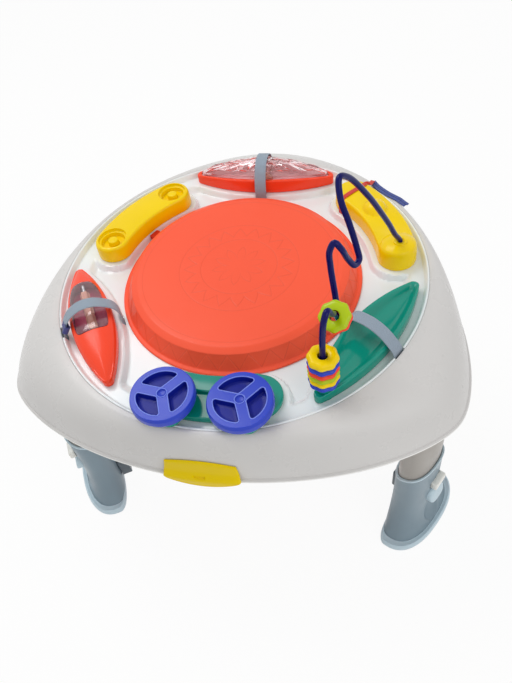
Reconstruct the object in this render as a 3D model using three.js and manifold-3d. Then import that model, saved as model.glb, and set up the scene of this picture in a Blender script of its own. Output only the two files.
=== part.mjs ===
// Activity table for babies: a round toy tray in a three-cornered shell on three telescopic legs.
// Millimetres, +Z up, the front towards -Y, the origin on the floor under the middle of the outline.
// The tray is the datum: radii are from its centre, and levels are measured from its rim.

import * as THREE from 'three';
import { mergeVertices } from 'three/addons/utils/BufferGeometryUtils.js';
import Module from 'manifold-3d';

const wasm = await Module();
wasm.setup();

// Driving dimensions

const rimLevel = 386;
const rimRadius = 264;
const skirtReach = 57;
const lipRadius = rimRadius + skirtReach;
const cornerShare = 0.102;
const skirtDrop = 70;
const wall = 3;
const gap = 0.3;
const overrun = 6;
const roundSteps = 54;
const boreSteps = 16;
const pinSteps = 12;
const smallSteps = 10;
const domeSteps = 20;

const rearAngle = Math.PI / 2;
const leftAngle = rearAngle + (2 * Math.PI) / 3;
const rightAngle = rearAngle - (2 * Math.PI) / 3;
const frontAngle = -rearAngle;
const rearLeftAngle = rearAngle + Math.PI / 3;
const rearRightAngle = rearAngle - Math.PI / 3;

// Materials, one per colour of moulding, clear plastic, webbing or coated wire

const plastic = (color, roughness = 0.35) =>
  new THREE.MeshStandardMaterial({ color, roughness, metalness: 0 });
const white = plastic(0xe9e8e4);
const coral = plastic(0xff5a40);
const red = plastic(0xf4452c);
const yellow = plastic(0xf5d924);
const green = plastic(0x16917a);
const blue = plastic(0x4a55cf);
const lime = plastic(0x9dcc12);
const navy = plastic(0x14147a, 0.3);
const cream = plastic(0xe6e4dc);
const slate = plastic(0x7f8d95);
const slateLight = plastic(0xaec0ca);
const charcoal = plastic(0x4b545a);
const webbing = plastic(0x9cacb8, 0.9);
const blueRibbonCloth = plastic(0x3f4c97, 0.9);
const redRibbonCloth = plastic(0xdd3a26, 0.9);
const steel = new THREE.MeshStandardMaterial({ color: 0xb8bcc0, roughness: 0.3, metalness: 1 });
const clear = new THREE.MeshStandardMaterial({
  color: 0xf6d9dc, roughness: 0.1, metalness: 0, transparent: true, opacity: 0.35,
});

// Solids from rings of points

function capFaces(ring, start) {
  const normal = new THREE.Vector3();
  ring.forEach((point, i) => {
    normal.add(new THREE.Vector3().crossVectors(point, ring[(i + 1) % ring.length]));
  });
  const turn = new THREE.Quaternion().setFromUnitVectors(normal.normalize(), new THREE.Vector3(0, 0, 1));
  const flat = ring.map((point) => {
    const turned = point.clone().applyQuaternion(turn);
    return new THREE.Vector2(turned.x, turned.y);
  });
  return THREE.ShapeUtils.triangulateShape(flat, []).map((face) => face.map((i) => start + i));
}

function signedVolume(points, faces) {
  let volume = 0;
  for (const [a, b, c] of faces) {
    volume += points[a].dot(new THREE.Vector3().crossVectors(points[b], points[c]));
  }
  return volume;
}

function geometryOf(points, faces) {
  const inward = signedVolume(points, faces) < 0;
  const geometry = new THREE.BufferGeometry();
  const places = points.flatMap((p) => [p.x, p.y, p.z]);
  geometry.setAttribute('position', new THREE.Float32BufferAttribute(places, 3));
  geometry.setIndex(faces.flatMap(([a, b, c]) => (inward ? [a, c, b] : [a, b, c])));
  return geometry;
}

// Rings of equal count are joined in turn. A loop joins the last to the first, and other skins are capped.
// On the one ring that is named as pleated, every other diagonal turns, which gives pointed facets.
function skin(rings, { loop = false, pleated = -1 } = {}) {
  const count = rings[0].length;
  const faces = [];
  const bands = loop ? rings.length : rings.length - 1;
  for (let j = 0; j < bands; j += 1) {
    const low = j * count;
    const high = ((j + 1) % rings.length) * count;
    for (let i = 0; i < count; i += 1) {
      const k = (i + 1) % count;
      if (j === pleated && i % 2 === 1) {
        faces.push([low + i, low + k, high + i], [low + k, high + k, high + i]);
      } else {
        faces.push([low + i, low + k, high + k], [low + i, high + k, high + i]);
      }
    }
  }
  if (!loop) {
    faces.push(...capFaces(rings[0], 0).map(([a, b, c]) => [a, c, b]));
    faces.push(...capFaces(rings.at(-1), (rings.length - 1) * count));
  }
  return geometryOf(rings.flat(), faces);
}

const ringAt = (outline, level, scale = 1) =>
  outline.map((p) => new THREE.Vector3(p.x * scale, p.y * scale, level));

function circle(radius, steps) {
  return Array.from({ length: steps }, (_, i) => {
    const angle = (2 * Math.PI * i) / steps;
    return new THREE.Vector2(radius * Math.cos(angle), radius * Math.sin(angle));
  });
}

// A turned solid: profile points are [radius, level], and a profile off the axis is a closed loop.
function turned(profile, steps, loop = false) {
  return skin(profile.map(([radius, level]) => ringAt(circle(radius, steps), level)), { loop });
}

function prism(outline, low, high) {
  return skin([ringAt(outline, low), ringAt(outline, high)]);
}

function block(sizeX, sizeY, sizeZ, x = 0, y = 0, z = 0) {
  return new THREE.BoxGeometry(sizeX, sizeY, sizeZ).translate(x, y, z);
}

// Joining and cutting

function manifoldOf(geometry) {
  const bare = geometry.clone();
  bare.deleteAttribute('normal');
  bare.deleteAttribute('uv');
  const merged = mergeVertices(bare);
  return new wasm.Manifold(new wasm.Mesh({
    numProp: 3,
    vertProperties: new Float32Array(merged.attributes.position.array),
    triVerts: new Uint32Array(merged.index.array),
  }));
}

function geometryFrom(manifold) {
  const mesh = manifold.getMesh();
  const geometry = new THREE.BufferGeometry();
  geometry.setAttribute('position', new THREE.BufferAttribute(new Float32Array(mesh.vertProperties), 3));
  geometry.setIndex(new THREE.BufferAttribute(new Uint32Array(mesh.triVerts), 1));
  return geometry;
}

const joined = (base, ...others) =>
  geometryFrom(others.reduce((sum, other) => sum.add(manifoldOf(other)), manifoldOf(base)));
const cut = (base, ...tools) =>
  geometryFrom(tools.reduce((rest, tool) => rest.subtract(manifoldOf(tool)), manifoldOf(base)));
const common = (base, tool) => geometryFrom(manifoldOf(base).intersect(manifoldOf(tool)));

// Places on the tray: a seat's local X points outwards and its local Y runs anticlockwise along the rim.

const table = new THREE.Group();

function seat(angle, radius = 0, level = 0, parent = table) {
  const group = new THREE.Group();
  group.position.set(radius * Math.cos(angle), radius * Math.sin(angle), level);
  group.rotation.z = angle;
  parent.add(group);
  return group;
}

function onTray(angle, radial, along, level) {
  return new THREE.Vector3(
    radial * Math.cos(angle) - along * Math.sin(angle),
    radial * Math.sin(angle) + along * Math.cos(angle),
    level,
  );
}

function piece(name, geometry, material, parent = table) {
  const mesh = new THREE.Mesh(geometry, material);
  mesh.name = name;
  parent.add(mesh);
  return mesh;
}

// Outlines

// Rounded triangle of constant width, given by its support function, so that grow is a true offset.
function lipOutline(angle, grow = 0) {
  const turn = 3 * (angle - rearAngle);
  const support = lipRadius * (1 + cornerShare * Math.cos(turn)) + grow;
  const drift = -3 * lipRadius * cornerShare * Math.sin(turn);
  return new THREE.Vector2(
    support * Math.cos(angle) - drift * Math.sin(angle),
    support * Math.sin(angle) + drift * Math.cos(angle),
  );
}

// Leaf of two arcs with round tips; its length runs along Y.
function leafOutline(halfLength, halfWidth, tip, arcSteps, tipSteps) {
  const coreLength = halfLength - tip;
  const coreWidth = halfWidth - tip;
  const arcRadius = (coreLength ** 2 + coreWidth ** 2) / (2 * coreWidth);
  const reach = Math.asin(coreLength / arcRadius);
  const points = [];
  for (const side of [1, -1]) {
    const base = side > 0 ? 0 : Math.PI;
    const centre = -side * (arcRadius - coreWidth);
    for (let i = 0; i <= arcSteps; i += 1) {
      const angle = base - reach + (2 * reach * i) / arcSteps;
      const radius = arcRadius + tip;
      points.push(new THREE.Vector2(centre + radius * Math.cos(angle), radius * Math.sin(angle)));
    }
    for (let i = 1; i < tipSteps; i += 1) {
      const angle = base + reach + ((Math.PI - 2 * reach) * i) / tipSteps;
      points.push(new THREE.Vector2(tip * Math.cos(angle), side * coreLength + tip * Math.sin(angle)));
    }
  }
  return points;
}

// Bar bent round the tray's centre, with round ends.
function bentOutline(radius, halfAngle, halfWidth, arcSteps, endSteps) {
  const points = [];
  const push = (centre, size, angle) =>
    points.push(new THREE.Vector2(centre.x + size * Math.cos(angle), centre.y + size * Math.sin(angle)));
  const origin = new THREE.Vector2();
  for (const side of [1, -1]) {
    for (let i = 0; i <= arcSteps; i += 1) {
      push(origin, radius + side * halfWidth, side * (-halfAngle + (2 * halfAngle * i) / arcSteps));
    }
    const end = new THREE.Vector2(radius * Math.cos(halfAngle), side * radius * Math.sin(halfAngle));
    for (let i = 1; i < endSteps; i += 1) {
      push(end, halfWidth, (side > 0 ? halfAngle : Math.PI - halfAngle) + (Math.PI * i) / endSteps);
    }
  }
  return points;
}

// Oval of a leg section: squarer than an ellipse, long along Y.
function ovalOutline(halfAlong, halfRadial, steps, squareness = 2.4) {
  return Array.from({ length: steps }, (_, i) => {
    const angle = (2 * Math.PI * i) / steps;
    const flatten = (value) => Math.sign(value) * Math.abs(value) ** (2 / squareness);
    return new THREE.Vector2(halfRadial * flatten(Math.cos(angle)), halfAlong * flatten(Math.sin(angle)));
  });
}

const smooth = (value, low, high) => {
  const t = Math.min(Math.max((value - low) / (high - low), 0), 1);
  return t * t * (3 - 2 * t);
};

// Table shell: a skirt from the round rim to the three-cornered lip, with a bead, a ledge and leg sockets

const skirtSweep = (75 * Math.PI) / 180;
const skirtShares = [0.22, 0.45, 0.66, 0.84, 1];
const crestWidth = wall;
const beadProud = 3;
const beadHeight = 6;
const ledgeDrop = 24.5;
const ledgeWidth = 26;
const ledgeRadius = rimRadius - ledgeWidth;

const shellAngles = Array.from({ length: roundSteps }, (_, i) => (2 * Math.PI * i) / roundSteps);

function skirtRing(share, inset = 0) {
  const bend = share * skirtSweep;
  const out = Math.sin(bend) / Math.sin(skirtSweep);
  const down = (1 - Math.cos(bend)) / (1 - Math.cos(skirtSweep));
  const crest = rimRadius + crestWidth - inset;
  return shellAngles.map((angle) => {
    const lip = lipOutline(angle, -inset);
    return new THREE.Vector3(
      crest * Math.cos(angle) * (1 - out) + lip.x * out,
      crest * Math.sin(angle) * (1 - out) + lip.y * out,
      rimLevel - skirtDrop * down - inset * (1 - out),
    );
  });
}

const lipRing = (grow, level) => shellAngles.map((angle) => {
  const point = lipOutline(angle, grow);
  return new THREE.Vector3(point.x, point.y, level);
});

const shellCircle = (radius, level) => ringAt(circle(radius, roundSteps), level);

function skirtBody(inset) {
  const shares = [...skirtShares].reverse();
  return skin([
    lipRing(-inset, rimLevel - skirtDrop - beadHeight),
    ...shares.map((share) => skirtRing(share, inset)),
    shellCircle(rimRadius, rimLevel - inset),
  ]);
}

// Legs stand under the corners; these sizes are shared by the sockets, posts and lower shells.
const legInset = 8;
const legRadius = lipRadius - legInset;
const postAlong = 38.5;
const postRadial = 23.5;
const socketDepth = 92;
const postTopDrop = 45;
const postTop = rimLevel - postTopDrop;
const legSteps = 16;
const screwRise = 12;
const screwLevel = rimLevel - socketDepth + screwRise;
const screwShank = 2;
const belowSteps = 8;

const legOval = (grow, steps = legSteps) => ovalOutline(postAlong + grow, postRadial + grow, steps);

function screwBore(depth) {
  const bore = turned([[screwShank + gap, -depth], [screwShank + gap, depth]], smallSteps);
  return bore.rotateY(Math.PI / 2).translate(-postRadial, 0, screwLevel);
}

function legSocket(angle) {
  const low = rimLevel - socketDepth;
  const tube = skin([
    ringAt(legOval(gap + wall), low),
    ringAt(legOval(gap + wall), rimLevel),
    ringAt(legOval(gap), rimLevel),
    ringAt(legOval(gap), low),
  ], { loop: true });
  const bored = cut(tube, screwBore(2 * wall + gap));
  bored.rotateZ(angle).translate(legRadius * Math.cos(angle), legRadius * Math.sin(angle), 0);
  const inside = skirtBody(wall / 2).toNonIndexed();
  const below = turned([[2 * lipRadius, 0], [2 * lipRadius, rimLevel - skirtDrop]], belowSteps);
  const under = geometryFrom(manifoldOf(inside).add(manifoldOf(below)));
  return common(bored, under);
}

function tableShell() {
  const under = [...skirtShares].reverse();
  const body = skin([
    shellCircle(rimRadius + gap, rimLevel - gap),
    shellCircle(rimRadius + crestWidth, rimLevel),
    ...skirtShares.map((share) => skirtRing(share)),
    lipRing(0, rimLevel - skirtDrop - wall + gap),
    lipRing(beadProud, rimLevel - skirtDrop - wall),
    lipRing(beadProud, rimLevel - skirtDrop - beadHeight),
    lipRing(-wall, rimLevel - skirtDrop - beadHeight),
    ...under.slice(1).filter((_, i) => i % 2 === 0).map((share) => skirtRing(share, wall)),
    shellCircle(rimRadius + crestWidth, rimLevel - ledgeDrop - wall),
    shellCircle(ledgeRadius, rimLevel - ledgeDrop - wall),
    shellCircle(ledgeRadius, rimLevel - ledgeDrop),
    shellCircle(rimRadius + gap, rimLevel - ledgeDrop),
  ], { loop: true });
  return joined(body, ...[rearAngle, leftAngle, rightAngle].map(legSocket));
}

piece('table_shell', tableShell(), white);

// Toy tray: pads that carry the toys, a trough round the drum and hollows between the pads

const padDrop = 9;
const troughDrop = 18;
const trayWallWidth = 6.5;
const trayWallFoot = rimRadius - trayWallWidth;
const trayCrest = rimRadius - wall;
const toyBand = 81;
const troughRadius = rimRadius - toyBand;
const troughBank = 5;
const troughWidth = 43;
const holeRadius = troughRadius - troughWidth;
const holeLip = 22;
const hollowInset = 40;
const hollowReach = rimRadius - hollowInset;
const hollowWidth = 12;
const hollowBank = 7;
const hollowOffset = (31.5 * Math.PI) / 180;
const strapWidth = 18;
const strapThickness = 1.6;
const slotPlay = 2;
const innerSlotInset = 3.5;
const innerSlotRadius = troughRadius - innerSlotInset;
const outerSlotInset = 3.4;
const outerSlotRadius = rimRadius - outerSlotInset;
const padEdge = 14;
const padMiddle = 68;
const bankInsets = [toyBand, toyBand + troughBank];
const padInsets = [padEdge, ledgeWidth, hollowInset, padMiddle, ...bankInsets];
const underInsets = [ledgeWidth, hollowInset, ...bankInsets];

const hollowAngles = [rearAngle, leftAngle, rightAngle]
  .flatMap((angle) => [angle - hollowOffset, angle + hollowOffset]);

function distanceToHollow(x, y, angle) {
  const along = x * Math.cos(angle) + y * Math.sin(angle);
  const aside = -x * Math.sin(angle) + y * Math.cos(angle);
  return Math.hypot(Math.max(along - hollowReach, 0), aside);
}

function trayLevel(x, y) {
  const radius = Math.hypot(x, y);
  const nearest = Math.min(...hollowAngles.map((angle) => distanceToHollow(x, y, angle)));
  const trough = 1 - smooth(radius, troughRadius - troughBank, troughRadius);
  const hollow = 1 - smooth(nearest, hollowWidth - hollowBank, hollowWidth);
  return rimLevel - padDrop - (troughDrop - padDrop) * Math.max(trough, hollow);
}

const trayRing = (radius, sink = 0) => circle(radius, roundSteps)
  .map((p) => new THREE.Vector3(p.x, p.y, trayLevel(p.x, p.y) - sink));

function toyTray() {
  const floor = rimLevel - troughDrop;
  const body = skin([
    shellCircle(rimRadius - gap, rimLevel - gap),
    shellCircle(trayCrest, rimLevel - gap),
    trayRing(trayWallFoot),
    ...padInsets.map((inset) => trayRing(rimRadius - inset)),
    shellCircle(holeRadius + gap, floor),
    shellCircle(holeRadius, floor - holeLip),
    shellCircle(holeRadius + wall, floor - holeLip),
    shellCircle(holeRadius + wall, floor - wall),
    ...[...underInsets].reverse().map((inset) => trayRing(rimRadius - inset, wall)),
    shellCircle(trayWallFoot - wall, rimLevel - ledgeDrop + gap),
    shellCircle(rimRadius - gap, rimLevel - ledgeDrop + gap),
  ], { loop: true });
  const slots = [rearAngle, leftAngle, rightAngle].flatMap((angle) => {
    const width = strapWidth + slotPlay;
    const inner = block(strapThickness + slotPlay, width, troughDrop, innerSlotRadius, 0, floor);
    const depth = trayWallWidth + overrun;
    const outer = block(depth, width, 2 * ledgeDrop, trayWallFoot + depth / 2, 0, rimLevel - ledgeDrop / 2);
    return [inner.rotateZ(angle), outer.rotateZ(angle)];
  });
  return cut(body, ...slots);
}

piece('toy_tray', toyTray(), white);

// Drum cover: a lift-off lid over the middle of the tray, with pleated sides and a locating ring

const drumPlay = 9;
const drumFlange = troughRadius - drumPlay;
const flangeWidth = 7.5;
const drumFoot = drumFlange - flangeWidth;
const shoulderInset = 17;
const drumShoulder = drumFlange - shoulderInset;
const topInset = 27;
const drumTopRadius = drumFlange - topInset;
const drumRise = 11;
const shoulderDrop = 4;
const flangeThickness = 3.4;
const pleatDepth = 1.4;
const ringClearance = 3;
const ringDepth = 12;
const tongueWidth = 13;
const tongueReach = 3;

function drumCover() {
  const floor = rimLevel - troughDrop + gap;
  const top = rimLevel + drumRise;
  const shoulder = top - shoulderDrop;
  const flangeTop = floor + flangeThickness;
  const ringOut = holeRadius - ringClearance;
  const footRing = circle(drumFoot, roundSteps).map((p, i) => {
    const swell = i % 2 === 1 ? 1 + pleatDepth / drumFoot : 1;
    return new THREE.Vector3(p.x * swell, p.y * swell, flangeTop + gap);
  });
  const lid = skin([
    shellCircle(drumTopRadius - wall, top),
    shellCircle(drumTopRadius, top - shoulderDrop / 4),
    shellCircle(drumShoulder, shoulder),
    footRing,
    shellCircle(drumFlange - wall / 2, flangeTop),
    shellCircle(drumFlange, floor),
    shellCircle(drumFoot - wall, floor),
    shellCircle(drumShoulder - wall, shoulder - wall),
    shellCircle(ringOut, top - wall - shoulderDrop / 2),
    shellCircle(ringOut, floor - ringDepth),
    shellCircle(ringOut - wall, floor - ringDepth),
    shellCircle(ringOut - wall, top - wall),
  ], { pleated: 2 });
  const tongueLength = drumFlange - drumFoot + tongueReach;
  const tongueCentre = drumFlange + tongueReach - tongueLength / 2;
  const tongueHeight = 2 * flangeThickness;
  const tongue = block(tongueLength, tongueWidth, tongueHeight, tongueCentre, 0, floor + tongueHeight / 2);
  return joined(lid, tongue.rotateZ(rearLeftAngle));
}

piece('drum_cover', drumCover(), coral);

// Toys seat on the pads

const padLevel = rimLevel - padDrop;
const boatInset = 45;
const boatRadius = rimRadius - boatInset;
const boatLengthShare = 114 / 264;
const boatHalfLength = boatLengthShare * rimRadius;
const boatHalfWidth = 30;
const boatTip = 7;
const sheerShare = 0.35;
const leafArcSteps = 10;
const leafTipSteps = 3;

// Each ring is [inset, level, scale]; the deck falls towards the tips by the sheer.
function boatRing([inset, level, scale = 1]) {
  const outline = leafOutline(
    boatHalfLength - inset, boatHalfWidth - inset, boatTip - inset / 3, leafArcSteps, leafTipSteps,
  );
  return outline.map((p) => {
    const x = p.x * scale;
    const y = p.y * scale;
    return new THREE.Vector3(x, y, gap + level * (1 - sheerShare * (y / boatHalfLength) ** 2));
  });
}

const boatBody = (rings) => skin(rings.map(boatRing));

// Red boat on the left: a domed deck with a clear window over a roller

const deckEdge = 15;
const deckCrest = 29;
const hullFoot = 1.5;
const windowHalfWidth = 22;
const windowBackShare = 60 / 114;
const windowFrontShare = 35 / 114;
const windowBack = -windowBackShare * boatHalfLength;
const windowFront = windowFrontShare * boatHalfLength;
const windowWall = 2.2;
const windowProud = 1;
const wellFloor = 5;
const rollerRadius = 9;
const rollerPlay = 10.5;
const rollerLevel = 15.5;
const rollerLobes = 6;
const lobeShare = 0.84;
const axleRadius = 2.5;
const axleSocket = 7;

// Shares of the boat's outline, each with its share of the rise from the edge to the crest.
const deckShares = [[1, 0], [0.9, 0.38], [0.68, 0.74], [0.4, 0.94], [0.12, 1]];

function deckRings(grow) {
  return deckShares.map(([scale, rise]) =>
    [rise > 0 ? 0 : -grow, deckEdge + grow + (deckCrest - deckEdge) * rise, scale]);
}

const hullFootRings = [[hullFoot, 0], [0, 2 * hullFoot]];
const windowCentre = (windowBack + windowFront) / 2;
const windowLength = windowFront - windowBack;

function windowCutter(inset) {
  const height = 2 * deckCrest;
  const width = 2 * (windowHalfWidth - inset);
  return block(width, windowLength - 2 * inset, height, 0, windowCentre, wellFloor + height / 2);
}

function axleBar(radius, length, steps) {
  const bar = turned([[radius, -length / 2], [radius, length / 2]], steps);
  return bar.rotateX(Math.PI / 2).translate(0, windowCentre, rollerLevel);
}

function buildRedBoat() {
  const boat = seat(leftAngle, boatRadius, padLevel);
  const axleLength = windowLength + 2 * axleSocket - 2 * gap;
  const hull = cut(boatBody([...hullFootRings, ...deckRings(0)]), windowCutter(0),
    axleBar(axleRadius + gap, axleLength + 2 * gap, smallSteps));
  piece('red_boat', hull, red, boat);
  const underside = deckRings(windowProud - windowWall).map(([, level, scale]) => [windowWall, level, scale]);
  const shell = cut(boatBody([[0, 0], ...deckRings(windowProud)]),
    boatBody([[windowWall, -overrun], ...underside]));
  const lens = common(shell, windowCutter(gap));
  piece('red_boat_window', largestPart(lens), clear, boat);
  piece('red_boat_axle', axleBar(axleRadius, axleLength, smallSteps), steel, boat);
  const rollerRing = (level, radius) => circle(radius, 2 * rollerLobes).map((p, i) => {
    const share = i % 2 === 0 ? 1 : lobeShare;
    return new THREE.Vector3(p.x * share, p.y * share, level);
  });
  const half = windowLength / 2 - rollerPlay;
  const bore = axleRadius + gap;
  const roller = skin([
    rollerRing(-half, rollerRadius - 2 * gap), rollerRing(-half + wall, rollerRadius),
    rollerRing(half - wall, rollerRadius), rollerRing(half, rollerRadius - 2 * gap),
    ringAt(circle(bore, 2 * rollerLobes), half), ringAt(circle(bore, 2 * rollerLobes), -half),
  ], { loop: true });
  piece('red_boat_roller', roller.rotateX(Math.PI / 2).translate(0, windowCentre, rollerLevel), cream, boat);
}

// A cut can leave a loose rim; the window is the largest of the parts.
function largestPart(geometry) {
  const parts = manifoldOf(geometry).decompose();
  return geometryFrom(parts.reduce((best, part) => (part.volume() > best.volume() ? part : best)));
}

buildRedBoat();

// Rear boat: an open hull under a clear faceted dome, with a three-armed spinner on a pin

const rearWall = 23;
const rearRimWidth = 4.5;
const rearFloor = 6;
const domeSeat = 14;
const domeRise = 37;
const domeShoulder = 31;
const domeShares = [0.72, 0.34];
const domeWall = 2;
const spinnerRadius = 17;
const spinnerHeight = 7;
const spinnerLevel = 9;
const spinnerArm = 4.5;
const spinnerArms = 3;
const spinnerSteps = 24;
const armPower = 0.7;
const pinHeight = 22;

function buildRearBoat() {
  const boat = seat(rearAngle, boatRadius, padLevel);
  const inner = rearRimWidth + wall;
  const holeProfile = [[axleRadius + gap, rearFloor / 2], [axleRadius + gap, rearFloor + overrun]];
  const hull = cut(boatBody([
    ...hullFootRings, [0, rearWall - hullFoot], [hullFoot, rearWall],
    [rearRimWidth, rearWall - hullFoot], [rearRimWidth, domeSeat], [inner, domeSeat], [inner, rearFloor],
  ]), turned(holeProfile, pinSteps));
  piece('rear_boat', hull, red, boat);
  const seatInset = rearRimWidth + gap;
  const domeRings = (inset, sink, foot) => [[inset, foot], [inset, rearWall + wall - sink],
    [inset, domeShoulder - sink, domeShares[0]], [inset, domeRise - sink, domeShares[1]]];
  const inside = domeRings(seatInset + domeWall, domeWall, domeSeat + gap).reverse();
  piece('rear_boat_dome', boatBody([...inside, ...domeRings(seatInset, 0, domeSeat + gap)]), clear, boat);
  const pin = turned([[axleRadius, rearFloor / 2 + gap], [axleRadius, pinHeight]], pinSteps);
  piece('rear_boat_pin', pin, steel, boat);
  const armOutline = circle(1, spinnerSteps).map((p, i) => {
    const lobe = (1 + Math.cos((spinnerArms * 2 * Math.PI * i) / spinnerSteps)) / 2;
    return p.multiplyScalar(spinnerArm + (spinnerRadius - spinnerArm) * lobe ** armPower);
  });
  const bore = circle(axleRadius + gap, spinnerSteps);
  const spinner = skin([
    ringAt(armOutline, spinnerLevel), ringAt(armOutline, spinnerLevel + spinnerHeight),
    ringAt(bore, spinnerLevel + spinnerHeight), ringAt(bore, spinnerLevel),
  ], { loop: true });
  piece('rear_boat_spinner', spinner, cream, boat);
}

buildRearBoat();

// Green boat on the right: a dished hull whose lower tip holds one end of the bead wire

const greenWall = 19;
const greenRimWidth = 5;
const wireRadius = 4;
const dishShares = [0.97, 0.6, 0.25];
const plugInset = 17;
const plugAlong = plugInset - boatHalfLength;
const plugBoss = 8.5;
const plugTop = 26;
const plugDepth = 12;
const plugLevel = padLevel + gap + plugTop;
const plugPlace = onTray(rightAngle, boatRadius, plugAlong, plugLevel);

function greenBoat() {
  const hull = boatBody([...hullFootRings, [0, greenWall - hullFoot], [hullFoot, greenWall],
    [greenRimWidth, greenWall - hullFoot], [greenRimWidth + wall, greenWall - 2 * wall, dishShares[0]],
    [greenRimWidth, 2 * wall + hullFoot, dishShares[1]], [greenRimWidth, 2 * wall, dishShares[2]]]);
  hull.rotateZ(rightAngle).translate(...onTray(rightAngle, boatRadius, 0, padLevel));
  const boss = turned([[plugBoss + wall / 2, -plugTop + wall], [plugBoss, 0]], boreSteps);
  const bore = turned([[wireRadius + gap, -plugDepth], [wireRadius + gap, overrun]], boreSteps);
  return cut(joined(hull, boss.translate(...plugPlace)), bore.translate(...plugPlace));
}

piece('green_boat', greenBoat(), green);

// Bars: the socket bar at the rear left and the wire bar at the rear right share one outline

const barInset = 51;
const barRadius = rimRadius - barInset;
const barHalfAngle = (17.8 * Math.PI) / 180;
const barHalfWidth = 34;
const barHeight = 25;
const barCrown = 1;
const barArcSteps = 10;
const barEndSteps = 8;

const barRing = (inset, level, halfWidth = barHalfWidth, halfAngle = barHalfAngle) =>
  ringAt(bentOutline(barRadius, halfAngle, halfWidth - inset, barArcSteps, barEndSteps), level);

function barBody() {
  return skin([
    barRing(hullFoot, gap),
    barRing(0, 2 * hullFoot),
    barRing(hullFoot, barHeight - 2 * wall),
    barRing(wall + hullFoot, barHeight - hullFoot),
    barRing(3 * wall + hullFoot, barHeight),
    barRing(7 * wall, barHeight + barCrown),
  ]);
}

const socketRadius = 23;
const socketStep = 19;
const socketKnob = 9;
const socketShallow = 5;
const socketDeep = 12;
const knobSink = 2.5;
const socketSteps = 18;

function socketVoid(side) {
  const top = barHeight + overrun;
  const floor = barHeight - socketDeep;
  const profile = turned([
    [socketKnob / 3, top], [socketRadius, top], [socketRadius, barHeight - socketShallow],
    [socketStep, barHeight - socketShallow], [socketStep, floor], [socketKnob, floor],
    [socketKnob, barHeight - knobSink], [socketKnob / 3, barHeight - knobSink + 2 * gap],
  ], socketSteps);
  return profile.translate(barRadius * Math.cos(barHalfAngle), side * barRadius * Math.sin(barHalfAngle), 0);
}

piece('socket_bar', cut(barBody(), socketVoid(1), socketVoid(-1)), yellow, seat(rearLeftAngle, 0, padLevel));

const bossRadius = 31;
const bossRise = 12;
const wireHoleDepth = 16;
const bumpRadius = 15;
const bumpRise = 9;
const bumpAngle = (3 * Math.PI) / 180;
const bumpOut = 8;
const collarRadius = 11;
const collarHeight = 1.2;

const wireHoleOut = 6;
const wireHoleAngle = (18.8 * Math.PI) / 180;
const wireHoleRadius = barRadius + wireHoleOut;
const bossEnd = [wireHoleRadius * Math.cos(wireHoleAngle), -wireHoleRadius * Math.sin(wireHoleAngle)];
const bossPlace = onTray(rearRightAngle, ...bossEnd, padLevel + barHeight + bossRise);

const domeBends = [0, 0.3, 0.55, 0.78, 0.93];
const domeFootShare = 0.45;

// An upright foot, then a quarter of an ellipse up to a small flat top.
function domed(radius, low, high) {
  const foot = low + (high - low) * domeFootShare;
  return turned([[radius, low], ...domeBends.map((share) => {
    const bend = (share * Math.PI) / 2;
    return [radius * Math.cos(bend), foot + (high - foot) * Math.sin(bend)];
  })], domeSteps);
}

function wireBar() {
  const boss = domed(bossRadius, barHeight / 2, barHeight + bossRise);
  const top = barHeight + bossRise;
  const collar = turned([[collarRadius, barHeight], [collarRadius, top + collarHeight]], domeSteps);
  const hole = [[wireRadius + gap, top - wireHoleDepth], [wireRadius + 2 * gap, top + overrun]];
  const end = [...bossEnd, 0];
  const bump = domed(bumpRadius, barHeight / 2, barHeight + bumpRise);
  bump.translate(...onTray(bumpAngle, barRadius + bumpOut, 0, 0));
  const solid = joined(barBody(), boss.translate(...end), collar.translate(...end), bump);
  return cut(solid, turned(hole, boreSteps).translate(...end));
}

piece('wire_bar', wireBar(), yellow, seat(rearRightAngle, 0, padLevel));

// Car base at the front: a stepped bar with two hexagonal bosses and a wheel on each

const baseHalfAngle = (16.5 * Math.PI) / 180;
const baseInset = 15;
const baseDepth = 63;
const baseOuter = rimRadius - baseInset;
const baseInner = baseOuter - baseDepth;
const baseHeight = 9;
const baseEndSteps = 6;
const ridgeHeight = 14;
const ridgeStep = 36;
const ridgeOuter = baseOuter - ridgeStep;
const wheelInset = 31;
const wheelOut = rimRadius - wheelInset;
const wheelAside = 47.7;
const wheelRadius = 40.4;
const wheelThickness = 15;
const wheelTopLevel = 35;
const wheelGap = 1;
const hexCorners = 6;
const hexFoot = 37;
const hexTop = 21;
const hexLow = 10.4;
const hexEdge = 3.5;
const neckRadius = 15;
const hubRecess = 7;
const hubDepth = 3;
const pocketRadius = 31.7;
const pocketDepth = 8;
const spokeHalfWidth = 7.2;
const pocketCorner = 2.5;
const wheelBoreDepth = 9;
const wheelPin = 4;
const spokeTurn = (82 * Math.PI) / 180;
const rimArcSteps = 4;
const wheelSteps = 27;
const pocketDraft = 1.5;

const wheelSides = [['left', -1], ['right', 1]];

function wheelSeat(side, parent) {
  const group = new THREE.Group();
  group.position.set(wheelOut, side * wheelAside, wheelTopLevel - wheelThickness / 2);
  parent.add(group);
  return group;
}

function underWheel(geometry, side) {
  return geometry.translate(wheelOut, side * wheelAside, 0);
}

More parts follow.
